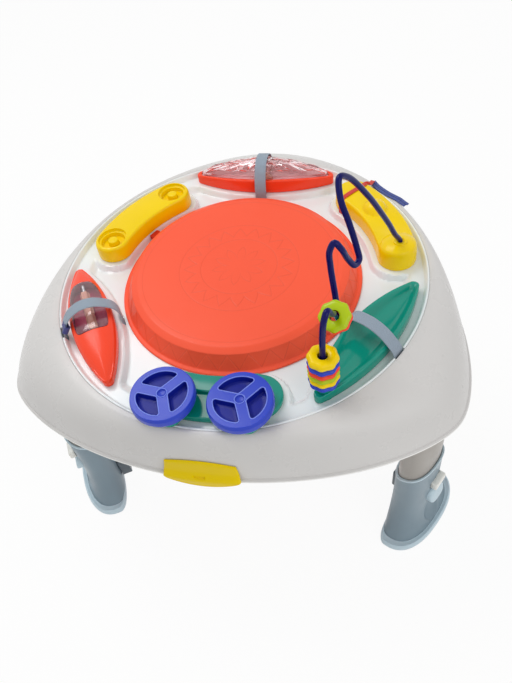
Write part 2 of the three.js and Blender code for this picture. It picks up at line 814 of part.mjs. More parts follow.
function carBase() {
  const bar = (inner, outer, top) => {
    const radius = (outer + inner) / 2;
    const half = (outer - inner) / 2;
    const ring = (inset, level) =>
      ringAt(bentOutline(radius, baseHalfAngle, half - inset, barArcSteps, baseEndSteps), level);
    return skin([ring(hullFoot, gap), ring(0, 2 * hullFoot), ring(0, top - hullFoot), ring(hullFoot, top)]);
  };
  const bosses = wheelSides.flatMap(([, side]) => {
    const plate = turned([[hexFoot, hexLow], [hexFoot, hexLow + hexEdge],
      [hexTop, wheelTopLevel - wheelThickness - wheelGap]], hexCorners);
    const neck = turned([[neckRadius, gap], [neckRadius, hexLow + hexEdge]], boreSteps);
    return [underWheel(plate.rotateZ(Math.PI / hexCorners), side), underWheel(neck, side)];
  });
  const holeProfile = [[wheelPin + gap, baseHeight / 2], [wheelPin + gap, wheelTopLevel]];
  const holes = wheelSides.map(([, side]) =>
    underWheel(turned(holeProfile, boreSteps), side));
  const plate = bar(baseInner, baseOuter, baseHeight);
  const ridge = bar(baseInner + hullFoot, ridgeOuter, ridgeHeight);
  return cut(joined(plate, ridge, ...bosses), ...holes);
}

// One of three pockets: the sector between two spokes, inside the rim, with rounded corners.
function pocketOutline(inset) {
  const reach = pocketRadius - pocketCorner - inset;
  const spoke = spokeHalfWidth + pocketCorner + inset;
  const side = Math.PI / 3;
  const half = side - Math.asin(spoke / reach);
  const normal = side + Math.PI / 2;
  const points = [];
  const around = (x, y, angle) =>
    points.push(new THREE.Vector2(x + pocketCorner * Math.cos(angle), y + pocketCorner * Math.sin(angle)));
  const atRim = (angle, facing) => around(reach * Math.cos(angle), reach * Math.sin(angle), facing);
  [normal, Math.PI, -normal].forEach((angle) => around(spoke / Math.sin(side), 0, angle));
  atRim(-half, -normal);
  atRim(-half, -(normal + half) / 2);
  for (let i = 0; i <= rimArcSteps; i += 1) {
    const angle = -half + (2 * half * i) / rimArcSteps;
    atRim(angle, angle);
  }
  atRim(half, (normal + half) / 2);
  atRim(half, normal);
  return points;
}

function wheel() {
  const half = wheelThickness / 2;
  const bore = wheelPin + gap;
  const body = turned([
    [bore, -half + wheelBoreDepth], [bore, -half], [wheelRadius - wall, -half],
    [wheelRadius - gap, -half + wall], [wheelRadius, half - 2 * wall],
    [wheelRadius - wall / 2, half - wall / 2], [wheelRadius - 2 * wall, half],
    [hubRecess, half - wall / 3], [hubRecess - gap, half - hubDepth],
  ], wheelSteps);
  const pockets = [0, 1, 2].map((k) => {
    const pocket = skin([
      ringAt(pocketOutline(pocketDraft), half - pocketDepth), ringAt(pocketOutline(0), half + overrun),
    ]);
    return pocket.rotateZ(spokeTurn + (2 * Math.PI * k) / 3);
  });
  return cut(body, ...pockets);
}

const frontSeat = seat(frontAngle, 0, padLevel);
piece('car_base', carBase(), green, frontSeat);

wheelSides.forEach(([name, side]) => {
  const group = wheelSeat(side, frontSeat);
  const half = wheelThickness / 2;
  const pinLow = -wheelTopLevel + half + baseHeight / 2 + gap;
  const pin = turned([[wheelPin, pinLow], [wheelPin, -half + wheelBoreDepth - gap]], boreSteps);
  piece(`wheel_axle_${name}`, pin, steel, group);
  piece(`wheel_${name}`, wheel(), blue, group);
});


// Bead wire: a rigid coated wire from the plug on the green boat to the boss of the wire bar

const wireSteps = 60;
const wireSides = 7;

// Each bend is set off from the straight line between plug and boss, and rises above the rim.
const wirePath = [
  [0, 0, 60], [-3.4, -10.9, 105], [-6.3, -20.2, 128], [-6.4, -20, 138], [-4.4, -18.8, 124],
  [-3.5, -19.7, 103], [-3.1, -19.5, 84], [-5.6, -20.3, 76], [-12.7, -21.2, 82], [-21.8, -24, 104],
  [-29.9, -26.8, 135], [-32.9, -35.7, 158], [-30, -41.5, 171], [-26.1, -51.4, 162], [-21.1, -54.2, 136],
  [-18.2, -55, 121], [-16.3, -55.9, 120], [-22.3, -61.7, 132], [-36.4, -63.5, 160], [-49.5, -68.4, 188],
  [-50.6, -65.2, 210], [-41.6, -63, 198], [-27.7, -34.9, 138], [-9.8, -29.7, 98], [-3.8, -18.5, 68],
];
const beadBendStep = 5;

const wireStart = plugPlace.clone().setZ(plugLevel - plugDepth + gap);
const wireEnd = bossPlace.clone().setZ(bossPlace.z - wireHoleDepth + gap);
const wireLead = bossPlace.clone().setZ(bossPlace.z + wireHoleDepth);
const wireBends = wirePath.map(([x, y, rise], i) => {
  const onLine = plugPlace.clone().lerp(bossPlace, i / (wirePath.length - 1));
  return new THREE.Vector3(onLine.x + x, onLine.y + y, rimLevel + rise);
});
const wireCurve = new THREE.CatmullRomCurve3(
  [wireStart, plugPlace, ...wireBends, wireLead, bossPlace, wireEnd], false, 'centripetal',
);

function alongCurve(curve, steps, ringOf) {
  const frames = curve.computeFrenetFrames(steps);
  return skin(Array.from({ length: steps + 1 }, (_, j) => {
    const centre = curve.getPointAt(j / steps);
    return ringOf(j / steps).map((p) => centre.clone()
      .addScaledVector(frames.normals[j], p.x).addScaledVector(frames.binormals[j], p.y));
  }));
}

piece('bead_wire', alongCurve(wireCurve, wireSteps, () => circle(wireRadius, wireSides)), navy);

// Beads: scalloped rings, six stacked over the plug and two hanging on the bend, the red one under the lime

const beadRadius = 19;
const beadHole = 6;
const beadThickness = 7.6;
const topBeadThickness = 12;
const scallopShare = 0.94;
const beadSteps = 16;
const beadShares = [[1, 0], [0.72, 1], [0, 1], [0, -1], [0.72, -1]];

function bead(thickness, outer = beadRadius, hole = beadHole) {
  return skin(beadShares.map(([out, up]) => {
    const radius = hole + (outer - hole) * out;
    return circle(radius, beadSteps).map((p, i) => {
      const share = i % 2 === 1 && out > 0 ? scallopShare : 1;
      return new THREE.Vector3(p.x * share, p.y * share, (up * thickness) / 2);
    });
  }), { loop: true });
}

const stack = [
  ['bead_1', blue], ['bead_2', yellow], ['bead_3', lime],
  ['bead_4', red], ['bead_5', blue], ['bead_6', yellow],
];

let stackTop = plugLevel + gap;
stack.forEach(([name, material], i) => {
  const thickness = i === stack.length - 1 ? topBeadThickness : beadThickness;
  const mesh = piece(name, bead(thickness), material);
  mesh.position.set(plugPlace.x, plugPlace.y, stackTop + thickness / 2);
  stackTop += thickness + gap;
});

function beadOnBend(name, material) {
  const mesh = piece(name, bead(beadThickness), material);
  const place = wireBends[beadBendStep];
  const axis = place.clone().sub(wireBends[beadBendStep + 1]).normalize();
  const sag = new THREE.Vector3(0, 0, -1).projectOnPlane(axis)
    .setLength(beadHole * Math.cos(Math.PI / beadSteps) - wireRadius - gap);
  mesh.position.copy(place).add(sag);
  mesh.quaternion.setFromUnitVectors(new THREE.Vector3(0, 0, 1), axis);
  return mesh;
}

beadOnBend('bead_lime', lime);
beadOnBend('bead_red', red).translateZ(-beadThickness - gap);

// Straps: webbing over each boat, from a slot by the drum to a slot in the rim, with folded ends

const strapSteps = 22;
const strapFold = 4.6;
const foldDepth = 6;
const flatSection = [[1, 1], [-1, 1], [-1, -1], [1, -1]];

// Each point is a distance inside the rim and a rise above it.
const strapPaths = {
  left: [[6, 6], [13, 19], [24, 30], [40, 36.5], [56, 35], [70, 25], [79, 12], [83.5, -2]],
  rear: [[6, 7], [13, 20], [24, 31], [39, 36.5], [54, 36], [67, 29], [77, 16], [83, 0]],
  right: [[5, 4], [13, 13], [24, 22], [38, 28.5], [54, 30.5], [68, 28], [78, 15], [83, 0]],
};

function strap(path) {
  const ledge = -ledgeDrop + gap;
  const under = -troughDrop - wall - gap;
  const points = [
    [outerSlotRadius, ledge + foldDepth], [outerSlotRadius, -wall],
    ...path.map(([inset, rise]) => [rimRadius - inset, rise]),
    [innerSlotRadius, -troughDrop + wall], [innerSlotRadius, under],
  ];
  const places = points.map(([radius, rise]) => new THREE.Vector3(radius, 0, rimLevel + rise));
  const curve = new THREE.CatmullRomCurve3(places);
  const sideways = new THREE.Vector3(0, strapWidth / 2, 0);
  const ringOf = (centre, across, thickness) => flatSection.map(([a, b]) => centre.clone()
    .addScaledVector(across, (a * thickness) / 2).addScaledVector(sideways, b));
  const flat = new THREE.Vector3(1, 0, 0);
  const fold = (radius, level, thickness) =>
    ringOf(new THREE.Vector3(radius, 0, rimLevel + level), flat, thickness);
  const rings = [
    fold(outerSlotRadius, ledge, strapFold),
    fold(outerSlotRadius, ledge + foldDepth, strapFold),
  ];
  for (let j = 1; j < strapSteps; j += 1) {
    const along = curve.getTangentAt(j / strapSteps);
    const across = new THREE.Vector3(0, 1, 0).cross(along).normalize();
    rings.push(ringOf(curve.getPointAt(j / strapSteps), across, strapThickness));
  }
  rings.push(
    fold(innerSlotRadius, under, -strapThickness),
    fold(innerSlotRadius, under, -strapFold),
    fold(innerSlotRadius, under - foldDepth, -strapFold),
  );
  return skin(rings);
}

piece('strap_left', strap(strapPaths.left), webbing, seat(leftAngle));
piece('strap_rear', strap(strapPaths.rear), webbing, seat(rearAngle));
piece('strap_right', strap(strapPaths.right), webbing, seat(rightAngle));

// Strap tag: a small label on the outer end of the left strap

const tagLength = 13;
const tagWidth = 10;
const tagThickness = 1;
const tagInset = 11.6;
const tagRise = 19.9;
const tagTilt = -0.66;

const tagSeat = seat(leftAngle, rimRadius - tagInset, rimLevel + tagRise);
piece('strap_tag', block(tagThickness, tagWidth, tagLength).rotateY(tagTilt), navy, tagSeat);

// Ribbons: a red one twisted over the far end of the wire bar, and two blue ones laid along the rim

const ribbonSteps = 16;
const ribbonThickness = 1.4;
const redWidth = 7;
const blueWidth = 6;
const ribbonAngle = (46.8 * Math.PI) / 180;

// Each point is a distance inside the rim and a rise above it.
const redPath = [
  [87.6, -16], [87.6, -8], [87.2, 4], [85.8, 12], [82, 16.4], [74, 18.2], [50, 18.5], [32, 18.5], [23, 18.3],
  [16.5, 15.4], [13, 10], [9, 5.6], [3, 5],
];
const redTwistShares = [0.8, 0.99];

// Each point is a distance outside the rim and a lift off the skirt, at the direction of the same place.
const bluePath = [[6, 3.4], [6, 2.4], [6.5, 1.6], [8, 1.6], [8.6, 1.6], [9, 1.8]];
const blueAngles = [47.6, 45.4, 42, 38, 34.5, 31].map((degrees) => (degrees * Math.PI) / 180);
const blueShifts = [0, 5.4];

function ribbon(curve, width, twistOf) {
  const ring = (share) => {
    const along = curve.getTangentAt(share);
    const across = new THREE.Vector3(0, 0, 1).cross(along).normalize();
    across.applyAxisAngle(along, twistOf(share));
    const through = new THREE.Vector3().crossVectors(along, across).normalize();
    return flatSection.map(([a, b]) => curve.getPointAt(share)
      .addScaledVector(across, (a * width) / 2).addScaledVector(through, (b * ribbonThickness) / 2));
  };
  return skin(Array.from({ length: ribbonSteps + 1 }, (_, j) => ring(j / ribbonSteps)));
}

const redCurve = new THREE.CatmullRomCurve3(redPath.map(([inset, rise]) =>
  onTray(ribbonAngle, rimRadius - inset, 0, rimLevel + rise)));
const redTwist = (share) => Math.PI * smooth(share, ...redTwistShares);
piece('red_ribbon', ribbon(redCurve, redWidth, redTwist), redRibbonCloth);

// Both lie on the skirt, one beside the other.
blueShifts.forEach((shift, i) => {
  const points = bluePath.map(([out, lift], k) => {
    const angle = blueAngles[k];
    const radius = rimRadius + out + shift;
    const slope = skirtSlopeAt(angle, radius);
    return onTray(angle, radius + lift * Math.sin(slope), 0,
      rimLevel - skirtDropAt(angle, radius) + lift * Math.cos(slope));
  });
  const curve = new THREE.CatmullRomCurve3(points);
  const lean = (share) => {
    const place = curve.getPointAt(share);
    return -skirtSlopeAt(Math.atan2(place.y, place.x), Math.hypot(place.x, place.y));
  };
  piece(`blue_ribbon_${i + 1}`, ribbon(curve, blueWidth, lean), blueRibbonCloth);
});

// Drop of the skirt below the rim at this angle and distance from the centre, and its slope there.
function skirtDropAt(angle, radius) {
  const crest = rimRadius + crestWidth;
  const reach = Math.hypot(lipOutline(angle).x, lipOutline(angle).y);
  const out = Math.max(radius - crest, 0) / (reach - crest);
  const bend = Math.asin(Math.min(out, 1) * Math.sin(skirtSweep));
  return (skirtDrop * (1 - Math.cos(bend))) / (1 - Math.cos(skirtSweep));
}

function skirtSlopeAt(angle, radius) {
  return Math.atan2(skirtDropAt(angle, radius + wall) - skirtDropAt(angle, radius - wall), 2 * wall);
}

// Front tab: a yellow lens over the lip, with a slot, following the skirt

const tabHalfAngle = (5.1 * Math.PI) / 180;
const tabShift = (-0.4 * Math.PI) / 180;
const tabTop = 53;
const tabLow = 79;
const tabProud = 2.6;
const tabLift = 0.9;
const tabEndPower = 2 / 3;
const tabColumns = 10;
const tabTipShare = 0.12;
const tabLevelShares = [1, 0.5, 0, -0.5, -1];
const tabSlotWidth = 15;
const tabSlotHeight = 3;
const tabSlotDepth = 1.2;

function skirtPoint(angle, drop, grow) {
  const down = Math.min(drop / skirtDrop, 1);
  const bend = Math.acos(1 - down * (1 - Math.cos(skirtSweep)));
  const out = Math.sin(bend) / Math.sin(skirtSweep);
  const lip = lipOutline(angle, grow);
  const crest = rimRadius + crestWidth + grow;
  return new THREE.Vector3(
    crest * Math.cos(angle) * (1 - out) + lip.x * out,
    crest * Math.sin(angle) * (1 - out) + lip.y * out,
    rimLevel - drop,
  );
}

function frontTab() {
  const middle = (tabTop + tabLow) / 2;
  const half = (tabLow - tabTop) / 2;
  const rings = Array.from({ length: tabColumns + 1 }, (_, j) => {
    const across = (2 * j) / tabColumns - 1;
    const angle = frontAngle + tabShift + across * tabHalfAngle;
    const height = half * Math.max((1 - across ** 2) ** tabEndPower, tabTipShare);
    const drops = tabLevelShares.map((share) => middle - share * height);
    const seatOf = (drop) => beadProud * smooth(drop, tabTop, skirtDrop) + tabLift;
    return [
      ...drops.map((drop) => skirtPoint(angle, drop, seatOf(drop) + tabProud)),
      ...[...drops].reverse().map((drop) => skirtPoint(angle, drop, seatOf(drop))),
    ];
  });
  const face = skirtPoint(frontAngle + tabShift, middle, beadProud + tabProud);
  const slot = block(tabSlotWidth, 2 * tabSlotDepth, tabSlotHeight, face.x, face.y, face.z);
  return cut(skin(rings), slot);
}

piece('front_tab', frontTab(), yellow);

// Legs: a fixed oval post in each socket, and a lower shell that slides on it and flares to an oval foot

const postLowDrop = 328;
const postLow = rimLevel - postLowDrop;
const shellTopDrop = 221;
const shellTop = rimLevel - shellTopDrop;
const shellSlope = 15;
const footAlong = 78;
const footRadial = 42;
const footRimHeight = 13;
const footRimWidth = 5;
const gentleFlare = 0.22;
const shellFoot = 4;
const shellRings = 7;
const ringPower = 2 / 3;
const scoopFacets = [9, 6];
const catchHeights = [262, 289, 316];
const buttonAlong = 28;
const buttonHeight = 15;
const buttonProud = 10;
const buttonDrop = 260;
const buttonShift = 6;
const buttonCorner = 3;
const buttonTravel = 2.5;
const hoodDrop = 296;
const hoodHalfAlong = 17;
const hoodHalfHeight = 11;
const hoodProud = 6.5;
const hoodTopShare = 0.82;
const hoodSquareness = 3;
const scoopDrop = 340;
const scoopHalfAlong = 19;
const scoopHalfHeight = 34;
const scoopDepth = 9;
const bracketAlong = 30;
const bracketDepth = 26;
const bracketHeight = 44;
const bracketDrop = 335;
const bracketShift = 12;
const bracketWall = 4;
const screwHead = 4.5;
const screwHeadHeight = 2.6;
const screwLength = 11;

// Half sizes of the lower shell's outside at a height share: 0 at the top ring, 1 at the floor.
function shellOval(level, inset) {
  const share = 1 - (level - shellFoot) / (shellTop - shellFoot);
  const flare = flareAt(share);
  const along = postAlong + gap + wall + (footAlong - footRimWidth - postAlong - gap - wall) * flare;
  const radial = postRadial + gap + wall + (footRadial - footRimWidth - postRadial - gap - wall) * flare;
  return ovalOutline(along - inset, radial - inset, legSteps);
}

function flareAt(share) {
  const clamped = Math.min(Math.max(share, 0), 1);
  return gentleFlare * clamped ** 2 + (1 - gentleFlare) * clamped ** 5;
}

const shellLevels = Array.from({ length: shellRings }, (_, i) => i / (shellRings - 1))
  .map((share) => shellFoot + (shellTop - shellFoot) * (1 - share ** ringPower));

function levelRing(outline, level) {
  const share = smooth(level, shellTop / 2, shellTop);
  return outline.map((p) => new THREE.Vector3(p.x, p.y, level + (share * shellSlope * p.x) / postRadial));
}

function legShell() {
  const outside = shellLevels.map((level) => levelRing(shellOval(level, 0), level));
  const inside = [...shellLevels].reverse().map((level) => levelRing(shellOval(level, wall), level));
  const body = skin([...outside, ...inside], { loop: true });
  const window = block(6 * wall, buttonAlong + 2 * gap, buttonHeight + 2 * gap,
    postRadial + wall, buttonShift, rimLevel - buttonDrop);
  const depth = scoopDepth / scoopHalfAlong;
  const scoop = new THREE.SphereGeometry(scoopHalfAlong, ...scoopFacets)
    .scale(depth, 1, scoopHalfHeight / scoopHalfAlong)
    .translate(scoopCentre(), -wall, rimLevel - scoopDrop);
  const liner = new THREE.SphereGeometry(scoopHalfAlong + wall, ...scoopFacets)
    .scale(depth, 1, scoopHalfHeight / scoopHalfAlong)
    .translate(scoopCentre(), -wall, rimLevel - scoopDrop);
  const solid = skin(shellLevels.map((level) => levelRing(shellOval(level, 0), level)));
  const dished = cut(joined(body, common(liner, solid)), scoop);
  return cut(dished, window);
}

function scoopCentre() {
  const level = rimLevel - scoopDrop;
  const outline = shellOval(level, 0);
  return outline[0].x + wall;
}

function legPost() {
  const post = skin([
    ringAt(legOval(0), postLow), ringAt(legOval(0), postTop), ringAt(legOval(-wall), postTop),
    ringAt(legOval(-wall), postLow),
  ], { loop: true });
  const catches = catchHeights.map((drop) =>
    block(4 * wall, buttonAlong / 2, buttonHeight / 2, postRadial, buttonShift, rimLevel - drop));
  return cut(post, screwBore(2 * wall + gap), ...catches);
}

// The button's face stands out of the shell; its stem reaches the window in the shell's wall.
function legButton() {
  const half = buttonAlong / 2;
  const tall = buttonHeight / 2;
  const outline = (inset) => roundedBox(half - inset, tall - inset, buttonCorner);
  const low = postRadial + gap + buttonTravel;
  const ring = (inset, x) => outline(inset).map((p) => new THREE.Vector3(x, p.x, p.y));
  const high = low + buttonProud;
  return skin([ring(0, low), ring(0, high - buttonCorner / 2), ring(buttonCorner / 2, high)])
    .translate(0, buttonShift, rimLevel - buttonDrop);
}

function roundedBox(halfX, halfY, corner, steps = 3) {
  return [[1, 1], [-1, 1], [-1, -1], [1, -1]].flatMap(([x, y], k) =>
    Array.from({ length: steps + 1 }, (_, i) => {
      const angle = ((k + i / steps) * Math.PI) / 2;
      return new THREE.Vector2(x * (halfX - corner) + corner * Math.cos(angle),
        y * (halfY - corner) + corner * Math.sin(angle));
    }));
}

function legHood() {
  const base = postRadial + wall + 2 * gap;
  const oval = ovalOutline(hoodHalfAlong, hoodHalfHeight, legSteps, hoodSquareness);
  const ring = (x, share) => oval.map((p) => new THREE.Vector3(x, p.y * share, p.x * share));
  const top = base + hoodProud;
  const pad = skin([ring(base - wall, 1), ring(top - wall, 1), ring(top, hoodTopShare)]);
  pad.translate(0, 0, rimLevel - hoodDrop);
  const solid = skin(shellLevels.map((level) => levelRing(shellOval(level, -gap), level)));
  return largestPart(cut(pad, solid));
}

// The lower shell's surface between its two lowest rings, where the foot rim wraps it.
function shellSkirt(level, inset) {
  const [high, low] = shellLevels.slice(-2);
  const share = (level - low) / (high - low);
  const upper = shellOval(high, inset);
  return shellOval(low, inset).map((p, i) => p.lerp(upper[i], share));
}

function footRim() {
  const ring = (grow, level) => ringAt(ovalOutline(footAlong + grow, footRadial + grow, legSteps), level);
  return skin([
    ring(-footRimWidth / 2, 0), ring(0, footRimWidth / 2), ring(-gap, footRimHeight - footRimWidth / 2),
    ring(-footRimWidth / 2, footRimHeight),
    ringAt(shellSkirt(footRimHeight - gap, -gap), footRimHeight - gap),
    ringAt(shellSkirt(shellFoot - gap, -gap), shellFoot - gap),
    ringAt(shellOval(shellFoot, 2 * wall), shellFoot - gap),
    ringAt(shellOval(shellFoot, 2 * wall), 0),
  ], { loop: true });
}

function legBracket() {
  const level = rimLevel - bracketDrop;
  const box = block(bracketDepth, bracketAlong, bracketHeight);
  const opening = block(2 * bracketDepth, bracketAlong - 2 * bracketWall, bracketHeight / 2 - bracketWall);
  const frame = cut(box, opening.translate(0, 0, bracketHeight / 4));
  frame.translate(-postRadial - wall - bracketDepth / 2, bracketShift, level);
  const solid = skin(shellLevels.map((one) => levelRing(shellOval(one, -gap), one)));
  return largestPart(cut(frame, solid));
}

function legScrew() {
  const screw = turned([
    [screwHead / 3, -screwHeadHeight], [screwHead, -screwHeadHeight / 2], [screwHead, 0],
    [screwShank, 0], [screwShank, screwLength - screwShank], [screwShank / 4, screwLength],
  ], smallSteps);
  return screw.rotateY(Math.PI / 2).translate(-postRadial - 2 * gap - wall, 0, screwLevel);
}

for (const [name, angle] of [['rear', rearAngle], ['left', leftAngle], ['right', rightAngle]]) {
  const leg = seat(angle, legRadius);
  piece(`leg_post_${name}`, legPost(), cream, leg);
  piece(`leg_shell_${name}`, legShell(), slate, leg);
  piece(`leg_foot_${name}`, footRim(), slateLight, leg);
  piece(`leg_button_${name}`, legButton(), white, leg);
  piece(`leg_hood_${name}`, legHood(), slateLight, leg);
  piece(`leg_bracket_${name}`, legBracket(), charcoal, leg);
  piece(`leg_screw_${name}`, legScrew(), steel, leg);
}

// The origin is under the middle of the outline: half the difference of the back and front reaches.

const backReach = lipRadius * (1 + cornerShare) + beadProud;
const frontReach = -skirtPoint(frontAngle + tabShift, tabLow, beadProud + tabProud + tabLift).y;
table.position.y = (frontReach - backReach) / 2;

export default table;
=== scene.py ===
# %% [markdown]
# # A baby activity table, dressed piece by piece
#
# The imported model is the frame: it says where each piece is and what it rides on.
# Here each moulding is made again as a smooth surface, a function of two parameters,
# and gets a finish that is worked out by nodes. Nothing is read from disk but the frame.

# %% Load the frame
import bmesh
import bpy
import numpy as np
from mathutils import Matrix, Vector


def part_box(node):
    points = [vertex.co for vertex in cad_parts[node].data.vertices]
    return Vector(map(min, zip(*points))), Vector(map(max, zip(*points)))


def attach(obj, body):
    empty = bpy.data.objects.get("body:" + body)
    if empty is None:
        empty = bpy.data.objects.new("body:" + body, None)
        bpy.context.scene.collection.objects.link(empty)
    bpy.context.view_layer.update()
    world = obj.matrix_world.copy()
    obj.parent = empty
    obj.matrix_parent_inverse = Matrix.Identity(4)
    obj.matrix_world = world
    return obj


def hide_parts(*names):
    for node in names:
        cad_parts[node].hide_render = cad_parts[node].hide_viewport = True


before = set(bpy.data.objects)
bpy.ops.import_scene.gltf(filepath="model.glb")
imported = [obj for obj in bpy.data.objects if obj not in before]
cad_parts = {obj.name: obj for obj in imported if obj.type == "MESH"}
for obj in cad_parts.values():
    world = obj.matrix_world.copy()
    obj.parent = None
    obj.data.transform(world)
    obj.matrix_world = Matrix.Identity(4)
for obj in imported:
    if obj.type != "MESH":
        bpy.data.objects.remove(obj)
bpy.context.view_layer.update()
print("nodes in the frame:", len(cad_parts))

# %% [markdown]
# ## Where things are
#
# The tray is the datum of the real table, so every shape below is written from the
# middle of the tray, with heights from its rim. The middle and the rim are measured on
# the frame. The builder of each mesh adds that place once, at the very end.

# %% Datum, units and the round of angles
mm = 0.001
gap = 0.3 * mm
wall = 3 * mm


def in_mm(numbers):
    return np.array(numbers) * mm


def corners_of_node(node):
    return (np.array(corner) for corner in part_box(node))


tray_low, tray_high = corners_of_node("toy_tray")
rim_level = tray_high[2] + gap
datum = np.array([0.0, (tray_low[1] + tray_high[1]) / 2, rim_level])

rear = np.pi / 2
left = rear + 2 * np.pi / 3
right = rear - 2 * np.pi / 3
front = -rear
rear_left = rear + np.pi / 3
rear_right = rear - np.pi / 3
corners = {"rear": rear, "left": left, "right": right}
print("datum in metres:", datum.round(4))

# %% [markdown]
# ## Meshes from grids
#
# A patch is an array of points with rows and columns. Neighbouring points make quads.
# A closed solid is a patch that wraps round, or that ends in poles: a row whose points
# all meet. Points that meet are merged, faces are turned outwards, and edges sharper
# than an angle are marked, so that flat faces stay crisp and round ones stay smooth.

# %% Patches, plates and the mesh builder
def quads(rows, columns, wrap_rows=False, wrap_columns=True):
    """Corner numbers of each quad: point, next column, next row and column, next row."""
    i = np.arange(rows if wrap_rows else rows - 1)[:, None]
    j = np.arange(columns if wrap_columns else columns - 1)[None, :]
    i, j = np.broadcast_arrays(i, j)
    down, across = (i + 1) % rows, (j + 1) % columns
    corners_of = [i * columns + j, i * columns + across, down * columns + across, down * columns + j]
    return np.stack(corners_of, -1).reshape(-1, 4)


def patch(points, wrap_rows=False, wrap_columns=True):
    """A grid of points as (points, faces)."""
    rows, columns = points.shape[:2]
    return points.reshape(-1, 3), quads(rows, columns, wrap_rows, wrap_columns)


def plate(top, bottom, keep=True, wrap_columns=True):
    """Two skins with holes: quads where keep is true, and a wall wherever keep ends."""
    rows, columns = top.shape[:2]
    count = rows * columns
    faces = quads(rows, columns, False, wrap_columns)
    kept = faces[np.broadcast_to(np.ravel(keep), len(faces))]
    edges = np.concatenate([kept[:, [k, (k + 1) % 4]] for k in range(4)])
    key = edges[:, 0].astype(np.int64) * count + edges[:, 1]
    back = edges[:, 1].astype(np.int64) * count + edges[:, 0]
    rim = edges[~np.isin(key, back)]
    walls = np.stack([rim[:, 1], rim[:, 0], rim[:, 0] + count, rim[:, 1] + count], -1)
    points = np.concatenate([top.reshape(-1, 3), bottom.reshape(-1, 3)])
    return points, np.concatenate([kept, kept[:, ::-1] + count, walls])


def seat(points, angle, radius=0.0, level=0.0):
    """Local X points outwards at that angle of the tray, and local Y anticlockwise."""
    c, s = np.cos(angle), np.sin(angle)
    turn = np.array([[c, s, 0], [-s, c, 0], [0, 0, 1]])
    return (points + np.array([radius, 0, level])) @ turn


def seated(parts, angle, radius=0.0, level=0.0):
    """The same for parts, each of them points and faces."""
    return [(seat(points, angle, radius, level), faces) for points, faces in parts]


merge_distance = 0.002 * mm


def add_to_scene(name, data):
    made = bpy.data.objects.new(name, data)
    bpy.context.scene.collection.objects.link(made)
    return made


def piece(name, parts, finish, *replaces, body="table", uv=None, sharp=38):
    sizes = np.cumsum([0] + [len(points) for points, _ in parts])
    points = np.concatenate([p.reshape(-1, 3) for p, _ in parts]) + datum
    faces = np.concatenate([f + start for (_, f), start in zip(parts, sizes)])
    mesh = bpy.data.meshes.new(name)
    mesh.from_pydata(points.tolist(), [], faces.tolist())
    if uv is not None:
        layer = mesh.uv_layers.new(name="weave")
        layer.data.foreach_set("uv", uv.reshape(-1, 2)[faces.reshape(-1)].reshape(-1))
    work = bmesh.new()
    work.from_mesh(mesh)
    bmesh.ops.remove_doubles(work, verts=work.verts, dist=merge_distance)
    bmesh.ops.dissolve_degenerate(work, edges=work.edges, dist=merge_distance)
    bmesh.ops.recalc_face_normals(work, faces=work.faces)
    work.to_mesh(mesh)
    work.free()
    mesh.polygons.foreach_set("use_smooth", np.ones(len(mesh.polygons), dtype=bool))
    mesh.set_sharp_from_angle(angle=np.radians(sharp))
    mesh.materials.append(finish)
    made = add_to_scene(name, mesh)
    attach(made, body)
    if replaces:
        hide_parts(*replaces)
    print(name, len(mesh.polygons), "faces")
    return made


# %% [markdown]
# ## Profiles and outlines
#
# Most mouldings are a profile turned round an axis, or an outline carried up through
# levels. A real moulding has no knife edge, so the corners of a profile are replaced by
# small arcs here, before anything is turned.

# %% Profiles with round corners, turned solids and curves through points
def rounded(points, radius, steps=4):
    """Replaces each inner corner by a quadratic arc that leaves and joins its two sides
    at the same distance from the corner: the radius, or less where a side is short."""
    points = np.asarray(points, float)
    path = [points[:1]]
    share = np.linspace(0, 1, steps + 1)[:, None]
    for before, corner, after in zip(points[:-2], points[1:-1], points[2:]):
        back, ahead = before - corner, after - corner
        reach = min(radius, 0.45 * np.linalg.norm(back), 0.45 * np.linalg.norm(ahead))
        start = corner + back / np.linalg.norm(back) * reach
        end = corner + ahead / np.linalg.norm(ahead) * reach
        path.append((1 - share) ** 2 * start + 2 * share * (1 - share) * corner + share**2 * end)
    path.append(points[-1:])
    return np.concatenate(path)


def ring(count, start=0.0):
    return start + 2 * np.pi * np.arange(count) / count


def wrapped(angle):
    """The same direction between minus half a turn and half a turn."""
    return (angle + np.pi) % (2 * np.pi) - np.pi


def unit(vectors):
    """Vectors divided by their lengths."""
    return vectors / np.linalg.norm(vectors, axis=-1, keepdims=True)


def heading(path):
    """The direction of a path at each of its points."""
    return unit(np.gradient(path, axis=0))


def at_angle(radius, angle, *level):
    """The radius times cos and sin of the angle, with a level if one is given."""
    return np.stack(np.broadcast_arrays(radius * np.cos(angle), radius * np.sin(angle), *level), -1)


def at_level(flat, level):
    """Points in X and Y with a level: one for all of them, or one for each."""
    return np.concatenate([flat, np.broadcast_to(level, flat.shape[:-1])[..., None]], -1)


def turned(profile, columns=96, place=(0, 0, 0), swell=None):
    """A profile of (radius, level) turned round Z. swell scales the radius by angle."""
    profile = np.asarray(profile, float)
    angle = columns if isinstance(columns, np.ndarray) else ring(columns)
    lobe = np.ones_like(angle) if swell is None else swell(angle)
    return at_angle(profile[:, :1] * lobe[None, :], angle, profile[:, 1:2]) + np.asarray(place)


def lifted(loops, levels):
    """Outlines of equal count, each at its level, as rows of one grid."""
    return np.stack([at_level(loop, level) for loop, level in zip(loops, levels)])


def smooth(value, low, high):
    """3t^2 - 2t^3 between low and high, 0 below and 1 above."""
    t = np.clip((value - low) / (high - low), 0, 1)
    return t * t * (3 - 2 * t)


def between(p, q, low, high, t):
    """From p at low to q at high, in a straight line."""
    return ((high - t) * p + (t - low) * q) / (high - low)


